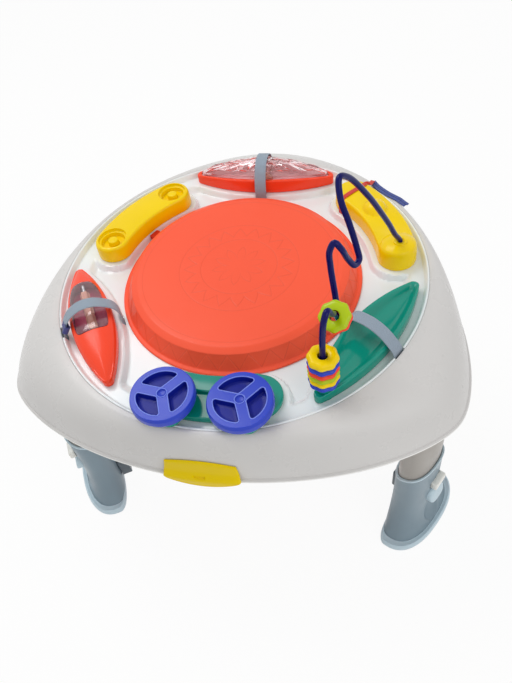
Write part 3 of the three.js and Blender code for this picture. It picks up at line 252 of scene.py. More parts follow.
def curve_through(points, samples):
    """Centripetal Catmull-Rom: knots are spaced by the root of the distance between
    points, each span is a cubic of its four nearest points, and the result is
    sampled at even lengths."""
    points = np.asarray(points, float)
    padded = np.concatenate([2 * points[:1] - points[1:2], points, 2 * points[-1:] - points[-2:-1]])
    knots = np.concatenate([[0], np.cumsum(np.linalg.norm(np.diff(padded, axis=0), axis=1) ** 0.5)])
    fine = []
    for k in range(1, len(padded) - 2):
        t = np.linspace(knots[k], knots[k + 1], 40, endpoint=False)[:, None]
        p0, p1, p2, p3 = padded[k - 1:k + 3]
        t0, t1, t2, t3 = knots[k - 1:k + 3]
        a1, a2, a3 = between(p0, p1, t0, t1, t), between(p1, p2, t1, t2, t), between(p2, p3, t2, t3, t)
        fine.append(between(between(a1, a2, t0, t2, t), between(a2, a3, t1, t3, t), t1, t2, t))
    fine = np.concatenate(fine + [points[-1:]])
    length = np.concatenate([[0], np.cumsum(np.linalg.norm(np.diff(fine, axis=0), axis=1))])
    even = np.linspace(0, length[-1], samples)
    return np.stack([np.interp(even, length, fine[:, k]) for k in range(3)], -1)


def leaf(half_length, half_width, tip, arc_steps=56, tip_steps=10):
    """Two arcs through the wide middle, joined by round tips. The length runs along Y."""
    core_length, core_width = half_length - tip, half_width - tip
    arc = (core_length**2 + core_width**2) / (2 * core_width)
    reach = np.arcsin(core_length / arc)
    sweep = np.linspace(-reach, reach, arc_steps + 1)
    loops = []
    for side, base in ((1, 0), (-1, np.pi)):
        loops.append(at_angle(arc + tip, base + sweep) - [side * (arc - core_width), 0])
        bend = base + reach + (np.pi - 2 * reach) * np.arange(1, tip_steps) / tip_steps
        loops.append(at_angle(tip, bend) + [0, side * core_length])
    return np.concatenate(loops)


def bent(radius, half_angle, half_width, arc_steps=48, end_steps=40):
    """A bar of one width bent round the tray's middle, with round ends."""
    loops = []
    for side in (1, -1):
        angle = side * np.linspace(-half_angle, half_angle, arc_steps + 1)
        loops.append(at_angle(radius + side * half_width, angle))
        first = half_angle if side > 0 else np.pi - half_angle
        turn = first + np.pi * np.arange(1, end_steps) / end_steps
        loops.append(at_angle(radius, side * half_angle) + at_angle(half_width, turn))
    return np.concatenate(loops)


def squarish(value, squareness=2.4):
    """The root that makes a superellipse of an ellipse's cosine or sine."""
    return np.sign(value) * np.abs(value) ** (2 / squareness)


def oval(half_along, half_radial, count=120, squareness=2.4):
    """A superellipse, squarer than an ellipse, long along Y."""
    x, y = (squarish(wave(ring(count)), squareness) for wave in (np.cos, np.sin))
    return np.c_[half_radial * x, half_along * y]


def polygon_outline(corners_xy, radius, steps=6):
    """A polygon whose corners are arcs."""
    closed = np.concatenate([corners_xy[-1:], corners_xy, corners_xy[:1]])
    return rounded(closed, radius, steps)[1:-1]


def rectangle(half, radius, steps):
    """A rectangle of those half sizes whose corners are arcs."""
    return polygon_outline(np.array([[1, 1], [-1, 1], [-1, -1], [1, -1]]) * half, radius, steps)


def directions_from(centre, outline):
    """The angle at which each point of an outline is seen from a centre."""
    return np.arctan2(*(outline - centre).T[::-1])


def matched(outline, centre, angles):
    """The outline's points at those directions from a centre: its distance is
    interpolated round the full turn."""
    direction = directions_from(centre, outline)
    order = np.argsort(direction)
    reach = np.interp(angles, direction[order], np.hypot(*(outline - centre)[order].T), period=2 * np.pi)
    return centre + at_angle(reach, angles)


# %% [markdown]
# ## Finishes
#
# The table is moulded in a few glossy plastics. Real mouldings are never one even
# colour: the colour drifts a little over a hand's width, the surface has a fine ripple,
# and handling leaves patches that are more or less shiny and a few fine specks. Each
# finish is one function of colour and gloss, built from noise on Object coordinates,
# so that it stays on the piece from every side.

# %% Node helpers
class Nodes:
    """The node tree of a material or of the world, with a short name for each kind."""

    def __init__(self, owner):
        owner.use_nodes = True
        self.tree = owner.node_tree

    def give(self, socket, value):
        """Links a socket to another node's output, or sets it."""
        if isinstance(value, bpy.types.NodeSocket):
            self.tree.links.new(value, socket)
        else:
            socket.default_value = value

    def add(self, kind, inputs=None, **settings):
        """Adds a node, sets its properties, and gives its inputs their values."""
        made = self.tree.nodes.new(kind)
        for key, value in settings.items():
            setattr(made, key, value)
        for key, value in (inputs or {}).items():
            self.give(made.inputs[key], value)
        return made

    def maths(self, operation, first, second=0.0, third=0.0):
        given = {0: first, 1: second, 2: third}
        return self.add("ShaderNodeMath", given, operation=operation).outputs[0]

    def times(self, first, second):
        return self.maths("MULTIPLY", first, second)

    def times_plus(self, first, second, third):
        return self.maths("MULTIPLY_ADD", first, second, third)

    def less(self, first, second):
        return self.maths("SUBTRACT", first, second)

    def higher(self, first, second):
        return self.maths("MAXIMUM", first, second)

    def ramp(self, value, low, high, to_low=0.0, to_high=1.0):
        """Maps value from low..high smoothly to to_low..to_high."""
        given = {"Value": value, "From Min": low, "From Max": high, "To Min": to_low, "To Max": to_high}
        return self.add("ShaderNodeMapRange", given, interpolation_type="SMOOTHSTEP").outputs[0]

    def mixed(self, share, first, second):
        return self.add("ShaderNodeMix", {0: share, 6: first, 7: second}, data_type="RGBA").outputs[2]

    def seen_straight(self):
        """1 on rays from the camera, or that reach it by gloss or through clear plastic."""
        path = self.add("ShaderNodeLightPath").outputs
        seen = self.higher(path["Is Camera Ray"], path["Is Glossy Ray"])
        return self.higher(seen, path["Is Transmission Ray"])


class Finish(Nodes):
    """A new material with its shader and the place that its noises use. The slot is not used."""

    def __init__(self, name, slot):
        self.material = bpy.data.materials.new(name)
        super().__init__(self.material)
        self.place = self.add("ShaderNodeTexCoord").outputs["Object"]
        self.shader = self.tree.nodes["Principled BSDF"]

    def noise(self, scale, detail=2.0, roughness=0.5, place=None):
        given = {"Vector": place or self.place, "Scale": scale, "Detail": detail, "Roughness": roughness}
        return self.add("ShaderNodeTexNoise", given).outputs[0]

    def made(self, inputs, height, strength, distance):
        """Gives the shader its inputs and its bump, and hands the material over."""
        bump = self.add("ShaderNodeBump", {"Height": height, "Strength": strength, "Distance": distance})
        for key, value in {**inputs, "Normal": bump.outputs[0]}.items():
            self.give(self.shader.inputs[key], value)
        return self.material


def linear(colour, gain=1.0):
    """An sRGB colour, 0 to 255, as the linear colour that a shader takes."""
    c = np.array(colour) / 255
    c = np.where(c <= 0.04045, c / 12.92, ((c + 0.055) / 1.055) ** 2.4) * gain
    return (*np.clip(c, 0, 1), 1.0)


# %% Glossy moulded plastic
speck_colour = (96, 84, 66)
drift_scale, handling_scale, ripple_scale, speck_scale, speck_patch_scale = 7.0, 23.0, 260.0, 34.0, 5.0
plastic_bending, ripple_depth = 1.49, 0.8 * mm


def moulded(name, slot, colour, gloss=0.3, drift=0.035, ripple=0.05, specks=0.0, shine=0.35,
            relief=None, painted_shade=None):
    """Colour times 1 - drift to 1 + drift by slow noise; where a painted shade is given,
    darker, down to 0.72 of the colour, by its mask; roughness by patchy noise; ripple
    and any relief as bump; specks where a cell's middle is near. Shine is the strength
    of the clear reflection, lower on dark plastics, where it would veil them."""
    f = Finish(name, slot)
    slow = f.ramp(f.noise(drift_scale, 3.0), 0.3, 0.7)
    base = f.mixed(slow, linear(colour, 1 - drift), linear(colour, 1 + drift))
    # Painted shade: the colour is darkened to 0.72 of itself where the mask is, standing in for shading.
    if painted_shade is not None:
        base = f.mixed(painted_shade(f), base, linear(colour, 0.72))
    if specks:
        cells = f.add("ShaderNodeTexVoronoi", {"Vector": f.place, "Scale": speck_scale})
        near = f.ramp(cells.outputs["Distance"], 0.012, 0.03, 1.0, 0.0)
        rare = f.ramp(f.noise(speck_patch_scale, 1.0), 0.56, 0.6)
        base = f.mixed(f.times(f.times(near, rare), specks), base, linear(speck_colour))
    handled = f.ramp(f.noise(handling_scale, 5.0, 0.62), 0.35, 0.68, gloss * 0.82, gloss * 1.3)
    height = f.times(f.noise(ripple_scale), ripple)
    if relief is not None:
        height = f.maths("ADD", height, relief(f))
    inputs = {"Base Color": base, "Roughness": handled, "IOR": plastic_bending, "Specular IOR Level": shine}
    return f.made(inputs, height, 0.35, ripple_depth)


# %% Clear plastic, metal and webbing
def clear_plastic(name, slot, tint, bending, waves):
    """Light goes through; patchy handling blurs it, and slow waves bend it a little."""
    f = Finish(name, slot)
    inputs = {"Base Color": linear(tint), "Transmission Weight": 1.0, "IOR": bending}
    inputs["Roughness"] = f.ramp(f.noise(60.0, 4.0), 0.4, 0.7, 0.02, 0.1)
    return f.made(inputs, f.noise(90.0), waves, 0.5 * mm)


def brushed(name, slot, colour, gloss):
    """Metal whose grain is noise drawn out along Z."""
    f = Finish(name, slot)
    drawn = f.add("ShaderNodeMapping", {"Vector": f.place, "Scale": (1.0, 1.0, 0.08)})
    grain = f.noise(1800.0, 3.0, place=drawn.outputs[0])
    base = f.mixed(grain, linear(colour, 0.85), linear(colour, 1.1))
    rough = f.ramp(grain, 0.3, 0.7, gloss, gloss + 0.2)
    return f.made({"Base Color": base, "Metallic": 1.0, "Roughness": rough}, grain, 0.1, 0.1 * mm)


def woven(name, slot, colour, rib, weft):
    """Ribs run along the tape and threads cross them: two waves of the UV map, in
    metres across and along, multiplied like a basket, with fuzz from noise. The colour
    follows that height: darker in the low parts as painted shade, lighter on the high
    ones as painted highlight."""
    f = Finish(name, slot)
    uv = f.add("ShaderNodeUVMap", uv_map="weave").outputs[0]
    parts = f.add("ShaderNodeSeparateXYZ", {0: uv})
    across = f.times(parts.outputs[0], 2 * np.pi / rib)
    along = f.times(parts.outputs[1], 2 * np.pi / weft)
    rows = f.maths("SINE", across)
    shift = f.times(f.maths("SIGN", rows), np.pi / 2)
    threads = f.maths("SINE", f.maths("ADD", along, shift))
    basket = f.times_plus(f.maths("ABSOLUTE", rows), f.times_plus(threads, 0.3, 0.7), 0.0)
    height = f.times_plus(f.noise(1500.0, 3.0), 0.25, basket)
    # Painted shade in the weave's low parts, a little lighter in random patches; painted highlight on its
    # high parts.
    valley_shade_wear = f.ramp(f.noise(40.0, 4.0), 0.35, 0.7, 0.0, 0.2)
    low = f.mixed(valley_shade_wear, linear(colour, 0.62), linear(colour, 0.8))
    base = f.mixed(f.ramp(height, 0.1, 0.95), low, linear(colour, 1.08))
    return f.made({"Base Color": base, "Roughness": 0.82, "Sheen Weight": 0.25}, height, 0.6, 0.35 * mm)


# %% [markdown]
# ### The lid's relief and its painted shade
#
# The lid is one coral moulding whose marks are relief: thin raised lines zigzag
# round its side, and a low ornament stands on its top. Along the lines the coral is
# also darkened as painted shade, standing in for the light and shade on the raised
# lines. The ornament here is a plain traditional one, a ring of triangles round a
# rosette. Both are lines in polar coordinates, so the height is worked out from the
# angle and the distance to the middle instead of being cut into a very dense mesh.

# %% Relief of the lid
zigzag_count, ring_teeth, petal_count = 36, 20, 10
side_top, side_low = 6.0 * mm, -13.2 * mm
band_radii = (55 * mm, 86 * mm, 140 * mm)
ring_start, ring_height = 62 * mm, 17 * mm
petal_start, petal_height = 12 * mm, 26 * mm
side_start, top_end, field_start = 156 * mm, 150 * mm, 54.4 * mm
side_slant, ring_slant, petal_slant = 0.56, 0.55, 0.6


def polar(f):
    """Distance from the lid's middle, angle in turns, and height above the rim."""
    centred = f.add("ShaderNodeVectorMath", {0: f.place, 1: tuple(datum)}, operation="SUBTRACT")
    x, y, z = f.add("ShaderNodeSeparateXYZ", {0: centred.outputs[0]}).outputs
    squares = f.times_plus(x, x, f.times(y, y))
    return f.maths("SQRT", squares), f.times(f.maths("ARCTAN2", y, x), 0.5 / np.pi), z


def line_at(f, offset, half_width):
    """1 on a line and 0 beyond its half width, from the distance to it."""
    return f.ramp(f.maths("ABSOLUTE", offset), 0.3 * half_width, half_width, 1.0, 0.0)


def zigzag(f, turns, count):
    """0 to 1 and back, count times round."""
    return f.times(f.maths("PINGPONG", f.times(turns, count), 0.5), 2.0)


def lid_marks(f):
    """Where the lines of the side, the lines of the top and the top's raised field are."""
    radius, turns, height = polar(f)
    path = f.times_plus(zigzag(f, turns, zigzag_count), side_top - side_low, side_low)
    slanted = f.times(f.less(height, path), side_slant)
    side = f.times(line_at(f, slanted, 0.7 * mm), f.ramp(radius, side_start, side_start + 1 * mm))
    ring_path = f.times_plus(zigzag(f, turns, ring_teeth), ring_height, ring_start)
    top = line_at(f, f.times(f.less(radius, ring_path), ring_slant), 1.1 * mm)
    petals = f.times_plus(f.maths("SQRT", zigzag(f, turns, petal_count)), petal_height, petal_start)
    top = f.higher(top, line_at(f, f.times(f.less(radius, petals), petal_slant), 1.0 * mm))
    for at in band_radii:
        top = f.higher(top, line_at(f, f.less(radius, at), 0.9 * mm))
    inside = f.ramp(f.less(radius, ring_path), -0.6 * mm, 0.6 * mm, 1.0, 0.0)
    field = f.times(inside, f.ramp(radius, field_start, field_start + 1.2 * mm))
    flat = f.ramp(radius, top_end, top_end + 1 * mm, 1.0, 0.0)
    return side, top, field, flat


def lid_relief(f):
    side, top, field, flat = lid_marks(f)
    return f.maths("ADD", f.times(side, -0.8), f.times(f.times_plus(field, 0.5, f.times(top, -0.6)), flat))


# Painted shade: darker coral along the raised lines of the side and of the top, standing in for the shading
# of the relief.
def lid_painted_shade(f):
    side, top, _, flat = lid_marks(f)
    return f.times_plus(side, 0.4, f.times(f.times(top, flat), 0.28))


# %% The finishes of this table
white = moulded("white moulding", "white", (213, 211, 209), drift=0.02, ripple=0.02, specks=0.5)
# Painted highlight: a whiter white for a skin on the lip's bead, standing in for the light its edge catches.
lip_highlight_white = moulded("lip bead with painted highlight", "white", (244, 243, 240), 0.25, 0.01, 0.01, shine=0.5)
white_gloss = moulded("glossy white tray", "white", (236, 241, 242), 0.12, 0.015, 0.02, 0.35, 0.5)
# The coral lid: its relief as bump, with painted shade along its lines.
coral = moulded("coral lid", "coral", (255, 94, 62), 0.36, 0.02, 0.03, 0.0, 0.22, lid_relief, lid_painted_shade)
coral_dark = moulded("coral in shadow", "coral", (214, 52, 32), 0.36, shine=0.2)
red = moulded("red moulding", "red", (253, 72, 38), 0.2, shine=0.3)
# Painted shade: a dark plum for the well under the window, standing in for the shade inside the red hull.
well_shade_plum = moulded("well in painted shade", "red", (168, 46, 84), shine=0.25)
pink_liner = moulded("pale liner", "red", (238, 194, 194), 0.12, ripple=0.2, shine=0.6)
yellow = moulded("yellow moulding", "yellow", (248, 212, 0), 0.2, specks=0.6, shine=0.22)
tab_yellow = moulded("yellow lens moulding", "yellow", (238, 206, 0), 0.2, ripple=0.02, shine=0.12)
green = moulded("green moulding", "green", (8, 148, 128), 0.14, 0.05, 0.02, shine=0.4)
blue = moulded("blue moulding", "blue", (46, 70, 198), 0.18, ripple=0.02, shine=0.25)
# Painted shade: a darker blue for the pockets' walls and floors, standing in for the shade in these
# recesses.
pocket_shade_blue = moulded("blue with painted shade in the wheel's pockets", "blue", (20, 34, 150), 0.2, shine=0.12)
# Painted highlight: a lighter blue for skins over the wheels' beads, standing in for the light they catch.
bead_highlight_blue = moulded("blue with painted highlight on the beads", "blue", (112, 132, 232), 0.2, shine=0.4)
lime = moulded("lime moulding", "lime", (178, 202, 6), 0.26, shine=0.3)
navy = moulded("navy coated wire", "navy_coating", (8, 10, 92), 0.1, ripple=0.0, shine=0.16)
cream = moulded("cream post", "cream", (168, 163, 157), 0.4, specks=0.3, shine=0.3)
roller_cream = moulded("cream roller", "cream", (218, 158, 138), 0.2)
slate = moulded("slate moulding", "slate", (131, 149, 160), 0.34, 0.06, 0.02, shine=0.3)
slate_light = moulded("light slate moulding", "slate_light", (196, 216, 226), 0.34, ripple=0.02, shine=0.4)
charcoal = moulded("charcoal moulding", "charcoal", (92, 102, 110), 0.42, shine=0.3)
button_white = moulded("white button", "white", (240, 239, 232))
clear = clear_plastic("clear window", "clear", (255, 250, 251), 1.45, 0.05)
crystal = clear_plastic("clear crystal", "clear", (255, 240, 242), 1.45, 0.12)
steel = brushed("plated steel", "steel", (196, 198, 202), 0.28)
strap_grey = woven("grey webbing", "webbing", (160, 176, 192), 1.25 * mm, 0.62 * mm)
tag_navy = woven("navy label cloth", "navy_cloth", (60, 66, 140), 0.5 * mm, 0.5 * mm)
ribbon_blue = woven("blue ribbon", "blue_ribbon", (66, 84, 160), 1.5 * mm, 0.5 * mm)
ribbon_red = woven("red ribbon", "red_ribbon", (230, 56, 36), 0.9 * mm, 0.5 * mm)
print("finishes:", len(bpy.data.materials))

# %% [markdown]
# ## The camera, the floor and the light
#
# The photograph looks down from in front, a little from the right, and leans to one
# side. The camera's place was worked out from points of the object whose sizes are
# known: the rim, the lid and the corners of the lip. The light is a large soft sky with
# two broad lamps, at a level where a colour renders about as it is written.

# %% Camera
view_azimuth, view_elevation, view_roll = 0.316, 0.881, -0.187
eye = np.array([0.2018, -0.6354, 0.9951])
photo_width_px, focal_px, sensor_mm = 512, 608.617, 36.0
straight_up = np.array([0, 0, 1.0])


def stand(made, right_side, above, behind, place):
    """Puts an object at a place, with its X, Y and Z along three directions."""
    made.matrix_world = Matrix([*np.c_[right_side, above, behind, place].tolist(), [0, 0, 0, 1]])


cos_e, sin_e = np.cos(view_elevation), np.sin(view_elevation)
back = np.array([np.sin(view_azimuth) * cos_e, -np.cos(view_azimuth) * cos_e, sin_e])
level_right = unit(np.cross(-back, straight_up))
level_up = np.cross(level_right, -back)
cos_r, sin_r = np.cos(view_roll), np.sin(view_roll)

camera_data = bpy.data.cameras.new("camera")
camera_data.sensor_fit = "HORIZONTAL"
camera_data.sensor_width = sensor_mm
camera_data.lens = focal_px * sensor_mm / photo_width_px
camera = add_to_scene("camera", camera_data)
stand(camera, level_right * cos_r + level_up * sin_r, level_up * cos_r - level_right * sin_r, back, eye)
bpy.context.scene.camera = camera
print("lens in mm:", round(camera_data.lens, 2))

# %% Floor, sky and lamps
floor_half, floor_glow, sky_level = 6.0, 0.93, 0.58
floor_mesh = bpy.data.meshes.new("floor")
floor_points = [(x * floor_half, y * floor_half, 0.0) for x, y in ((-1, -1), (1, -1), (1, 1), (-1, 1))]
floor_mesh.from_pydata(floor_points, [], [(0, 1, 2, 3)])
floor = add_to_scene("floor", floor_mesh)

floor_finish = bpy.data.materials.new("pale floor")
paper = Nodes(floor_finish)
shader = paper.tree.nodes["Principled BSDF"]
shader.inputs["Base Color"].default_value = linear((244, 244, 243))
shader.inputs["Roughness"].default_value = 0.9
glow = paper.add("ShaderNodeEmission", {"Color": (1, 1, 1, 1), "Strength": 1.0})
share = paper.times(paper.seen_straight(), floor_glow)
both = paper.add("ShaderNodeMixShader", {0: share, 1: shader.outputs[0], 2: glow.outputs[0]})
paper.tree.links.new(both.outputs[0], paper.tree.nodes["Material Output"].inputs["Surface"])
floor_mesh.materials.append(floor_finish)

world = bpy.data.worlds.new("studio")
bpy.context.scene.world = world
sky = Nodes(world)
background = sky.tree.nodes["Background"].inputs
background["Color"].default_value = (1.0, 1.0, 1.0, 1.0)
sky.give(background["Strength"], sky.times_plus(sky.seen_straight(), 1.0 - sky_level, sky_level))


def lamp(name, place, width, power):
    """A square lamp at a place, turned so that its -Z looks at the table."""
    data = bpy.data.lights.new(name, "AREA")
    data.shape = "SQUARE"
    data.size = width
    data.energy = power
    away = unit(np.array(place) - lamp_target)
    side = unit(np.cross(straight_up, away))
    stand(add_to_scene(name, data), side, np.cross(away, side), away, place)


lamp_target = (0, 0, 0.35)
lamp("key", (-0.9, 0.5, 2.2), 1.1, 17)
lamp("fill", (1.6, -1.3, 1.5), 1.6, 12)

# %% [markdown]
# ## The table shell
#
# The white body of the table is round at the rim and three-cornered at its lip. The
# skirt between them could be sculpted, but it has a rule: every height between the two
# outlines is a blend of them, and the blend follows a quarter of a circle, so the skirt
# leaves the rim level and ends steep. The lip is a rounded triangle of one width, given
# by its distance from the middle along each direction, so that a bead of even width can
# be set outside it.

# %% Table shell
crest_radius = 267 * mm
lip_radius, corner_share = 321 * mm, 0.102
skirt_drop, skirt_sweep = 70 * mm, np.radians(62)
rear_ease, rear_sweep_ease = 6 * mm, np.radians(12)


def lip(angle, grow=0.0):
    """The support function is the lip radius times 1 + a share of cos of three times
    the angle, a little less at the rear; the point is the support along the direction
    plus its rate of change across it."""
    turn = 3 * (angle - rear)
    ahead = np.clip(np.cos(angle - rear), 0, 1)
    support = lip_radius * (1 + corner_share * np.cos(turn)) + grow - rear_ease * ahead**4
    drift = -3 * lip_radius * corner_share * np.sin(turn) + 4 * rear_ease * ahead**3 * np.sin(angle - rear)
    return np.stack([support * np.cos(angle) - drift * np.sin(angle),
                     support * np.sin(angle) + drift * np.cos(angle)], -1)


def skirt(share, angle, inset=0.0):
    """Between the crest circle and the lip: outwards by the sine of the bend, down by
    one minus its cosine. The rear bends less. Inset draws both outlines in and sinks
    the crest."""
    sweep = skirt_sweep - rear_sweep_ease * np.clip(np.cos(angle - rear), 0, 1) ** 2
    out = np.sin(share * sweep) / np.sin(sweep)
    down = (1 - np.cos(share * sweep)) / (1 - np.cos(sweep))
    flat = at_angle(crest_radius - inset, angle) * (1 - out)[..., None] + lip(angle, -inset) * out[..., None]
    return at_level(flat, -skirt_drop * down - inset * (1 - out))


def circle_rows(profile):
    return turned(in_mm(profile), shell_angles)


def lip_rows(profile):
    """Rows of (how far outside the lip, level), in millimetres."""
    return np.stack([at_level(lip(shell_angles, grow), level) for grow, level in in_mm(profile)])


shell_angles = ring(360)
share_grid, angle_grid = np.meshgrid(np.linspace(0.06, 1, 40), shell_angles, indexing="ij")
crest = [(264.1, -23), (264.1, -1.2), (264.3, -0.5), (265, -0.1), (266.2, 0)]
bead = [(0.1, -71.2), (0.9, -71.5), (2.2, -71.9), (2.9, -72.8), (3, -74), (2.7, -75.2), (1.8, -75.9),
        (0.4, -76)]
bead_inside = [(-2.4, -76), (-3, -75.4)]
ledge = [(267, -27.5), (262, -27.5), (239, -27.5), (238, -27.2), (238, -24.8), (238.4, -24.5),
         (263.6, -24.5)]
shell_rows = np.concatenate([
    circle_rows(crest), skirt(share_grid, angle_grid), lip_rows(bead), lip_rows(bead_inside),
    skirt(share_grid, angle_grid, wall)[::-1], circle_rows(ledge)])

leg_radius = 313 * mm
post_along, post_radial = 38.5 * mm, 23.5 * mm
socket_depth = 92 * mm


def skirt_level(points, angle):
    """The skirt's height over points near a corner: that of the nearest point of a fine
    grid on it."""
    shares, turns = np.meshgrid(np.linspace(0.3, 1, 220), angle + np.linspace(-0.5, 0.5, 160), indexing="ij")
    grid = skirt(shares, turns).reshape(-1, 3)
    apart = (grid[:, None, 0] - points[None, :, 0]) ** 2 + (grid[:, None, 1] - points[None, :, 1]) ** 2
    return grid[apart.argmin(axis=0), 2]


def leg_socket(angle):
    """A double-walled oval tube whose top follows the underside of the skirt."""
    rows = []
    for grow, level in ((gap + wall, None), (gap + wall, -socket_depth), (gap, -socket_depth), (gap, None)):
        placed = seat(at_level(oval(post_along + grow, post_radial + grow), 0), angle, leg_radius)
        placed[:, 2] = skirt_level(placed, angle) - 0.6 * wall if level is None else level
        rows.append(placed)
    return patch(np.stack(rows), wrap_rows=True)


piece("table_shell_skin", [patch(shell_rows, wrap_rows=True)], white, "table_shell")
# A skin just outside the lip's bead in the whiter finish: a painted highlight along the lip.
trim = [(2.2, -73.2), (3.2, -73.5), (3.6, -74.2), (3.5, -75.2), (2.9, -76), (2, -76.5), (0.4, -76.6),
        (-1, -75)]
piece("table_lip_highlight_trim", [patch(lip_rows(trim), wrap_rows=True)], lip_highlight_white)
for name, angle in corners.items():
    piece(f"leg_socket_{name}", [leg_socket(angle)], white)

# %% [markdown]
# ## The toy tray
#
# The tray is a thin moulding dropped into the shell. It has pads under the toys, a
# trough round the lid, valleys between the pads and a raised wall at the rim. All of
# that is one height over the plane, so it is a height field in polar coordinates. The
# slots for the straps go right through, so the tray is a plate: two skins whose quads
# are left out at the slots, with walls round them.

# %% Where the toys stand
boat_radius = 219 * mm
boat_half_length, boat_half_width, boat_tip = 114 * mm, 30 * mm, 7 * mm
socket_bar_shape = (211 * mm, np.radians(18), 28 * mm)
wire_bar_shape = (224 * mm, np.radians(18), 27.5 * mm)
base_inner, base_outer, base_half_angle = 186 * mm, 249 * mm, np.radians(16.5)
wheel_out, wheel_aside = 233 * mm, 47.7 * mm
hex_foot = 37 * mm
pad_level, trough_level = -9 * mm, -18 * mm


def on_pad(parts, angle, radius=0.0):
    """Turned to an angle of the tray and lifted onto the pads, at a radius."""
    return seated(parts, angle, radius, pad_level)


def on_boat(rows, angle):
    """A grid of points, or ready parts, at the middle of the boat at that angle."""
    return on_pad(rows if isinstance(rows, list) else [patch(rows)], angle, boat_radius)


def from_boat(x, y, angle):
    """Distance outside the two arcs of a boat's outline."""
    out = x * np.cos(angle) + y * np.sin(angle) - boat_radius
    aside = y * np.cos(angle) - x * np.sin(angle)
    core = boat_half_width - boat_tip
    arc = ((boat_half_length - boat_tip) ** 2 + core**2) / (2 * core)
    return np.hypot(np.abs(out) + arc - core, aside) - arc - boat_tip


def from_bar(x, y, angle, radius, half_angle, half_width):
    """Distance outside a bent bar: distance to its middle line less half its width."""
    along, reach = wrapped(np.arctan2(y, x) - angle), np.hypot(x, y)
    nearest = np.clip(along, -half_angle, half_angle)
    return np.hypot(reach * np.cos(along) - radius * np.cos(nearest),
                    reach * np.sin(along) - radius * np.sin(nearest)) - half_width


def from_toys(x, y):
    """Distance outside the nearest toy: a boat, a bar, the car's base or a wheel's foot."""
    near = [from_boat(x, y, angle) for angle in corners.values()]
    near += [from_bar(x, y, rear_left, *socket_bar_shape), from_bar(x, y, rear_right, *wire_bar_shape)]
    base_radius, base_half = (base_inner + base_outer) / 2, (base_outer - base_inner) / 2
    near.append(from_bar(x, y, front, base_radius, base_half_angle, base_half))
    near += [np.hypot(x - side * wheel_aside, y + wheel_out) - hex_foot for side in (1, -1)]
    return np.minimum.reduce(near)


# %% Toy tray
slot_radius, notch_radius = 179.5 * mm, 257.5 * mm
slot_half, slot_half_width = 1.8 * mm, 10 * mm
slot_turn, notch_turn = (np.arcsin(slot_half_width / radius) for radius in (slot_radius, notch_radius))
trough_edge, valley_edge, valley_end = in_mm([177, 184]), in_mm([7, 11.5]), in_mm([228, 240])


def tray_height(x, y):
    """Pads at one level; valleys where every toy is more than a border away, and the
    trough inside the pads, at another."""
    radius = np.hypot(x, y)
    trough = 1 - smooth(radius, *trough_edge)
    valley = smooth(from_toys(x, y), *valley_edge) * (1 - smooth(radius, *valley_end))
    return pad_level + (trough_level - pad_level) * np.maximum(trough, valley)


slot_edges = np.concatenate([[a - s, a + s] for a in corners.values() for s in (slot_turn, notch_turn)])
tray_angles = np.unique(np.concatenate([ring(480), slot_edges % (2 * np.pi)]).round(7))
slot_sides = [(slot_radius + side * slot_half) / mm for side in (-1, 1)]
field = in_mm(np.unique(np.concatenate([np.linspace(144, 257.2, 92), slot_sides])))
lip_profile = in_mm([(140, -39.6), (140, -30), (140.1, -20), (140.9, -18.4), (142.4, -18)])
under_lip = in_mm([(143, -39.6), (143, -30), (143, -23), (143.1, -21.6), (143.3, -21)])
wall_profile = in_mm([(258, -8.6), (258.6, -7.4), (260.6, -1.4), (261.2, -0.5), (262, -0.15), (263.3, -0.15),
                      (263.9, -0.8)])
under_wall = in_mm([(254.4, -23.6), (254.6, -24.2), (256, -24.2), (258, -24.2), (260, -24.2), (262, -24.2),
                    (263.9, -23.6)])

radii, around = np.meshgrid(field, tray_angles, indexing="ij")
height = tray_height(radii * np.cos(around), radii * np.sin(around))
sheet_top = at_angle(radii, around, height)
sheet_low = at_angle(np.minimum(radii, 254.2 * mm), around, height - wall)
tray_top = np.concatenate([turned(lip_profile, tray_angles), sheet_top, turned(wall_profile, tray_angles)])
tray_under = np.concatenate([turned(under_lip, tray_angles), sheet_low, turned(under_wall, tray_angles)])

mid_angle = tray_angles + ((np.roll(tray_angles, -1) - tray_angles) % (2 * np.pi)) / 2
mid_radius = np.hypot(tray_top[..., 0], tray_top[..., 1]).mean(axis=1)
mid_radius = (mid_radius[1:] + mid_radius[:-1]) / 2
keep = np.ones((len(mid_radius), len(mid_angle)), bool)
for angle in corners.values():
    away = np.abs(wrapped(mid_angle - angle))
    keep[np.ix_(np.abs(mid_radius - slot_radius) < slot_half, away < slot_turn)] = False
    keep[np.ix_(mid_radius > notch_radius, away < notch_turn)] = False
piece("toy_tray_skin", [plate(tray_top, tray_under, keep)], white_gloss, "toy_tray")
print("valley floor below the pads in mm:", round((pad_level - trough_level) / mm, 1))

# %% [markdown]
# ## The drum lid
#
# The lid lifts off the hole in the tray. It is a turned shape: a flat top, a sloping
# shoulder, a flared side and a thin flange, with a ring underneath that finds the hole.
# Its side is very slightly pleated in triangles, so the radius swells a little between
# the zigzag lines. The fine lines themselves are in the finish, as bump with painted
# shade along them.

# %% Drum lid
lid_angles = ring(20 * zigzag_count)
top_radius, side_rows = 150 * mm, 18
pleat_depth, pleat_sharpness = 0.4 * mm, 9
pleat_foot, pleat_head = in_mm([-14.2, -12]), in_mm([4.5, 7])
lid_outside = [(0, 11), (70, 11), (140, 11), (147.5, 10.8), (156.8, 6.8), (166.8, -13.2), (168.4, -14.6),
               (172.4, -14.6), (174, -15.4), (173.8, -17.7)]
lid_inside = [(163.5, -17.7), (154, 3.6), (137.2, 6.6), (137, -29.2), (136.4, -29.7), (134.6, -29.7),
              (134, -29.2), (133.6, 7.6), (60, 8), (0, 8)]


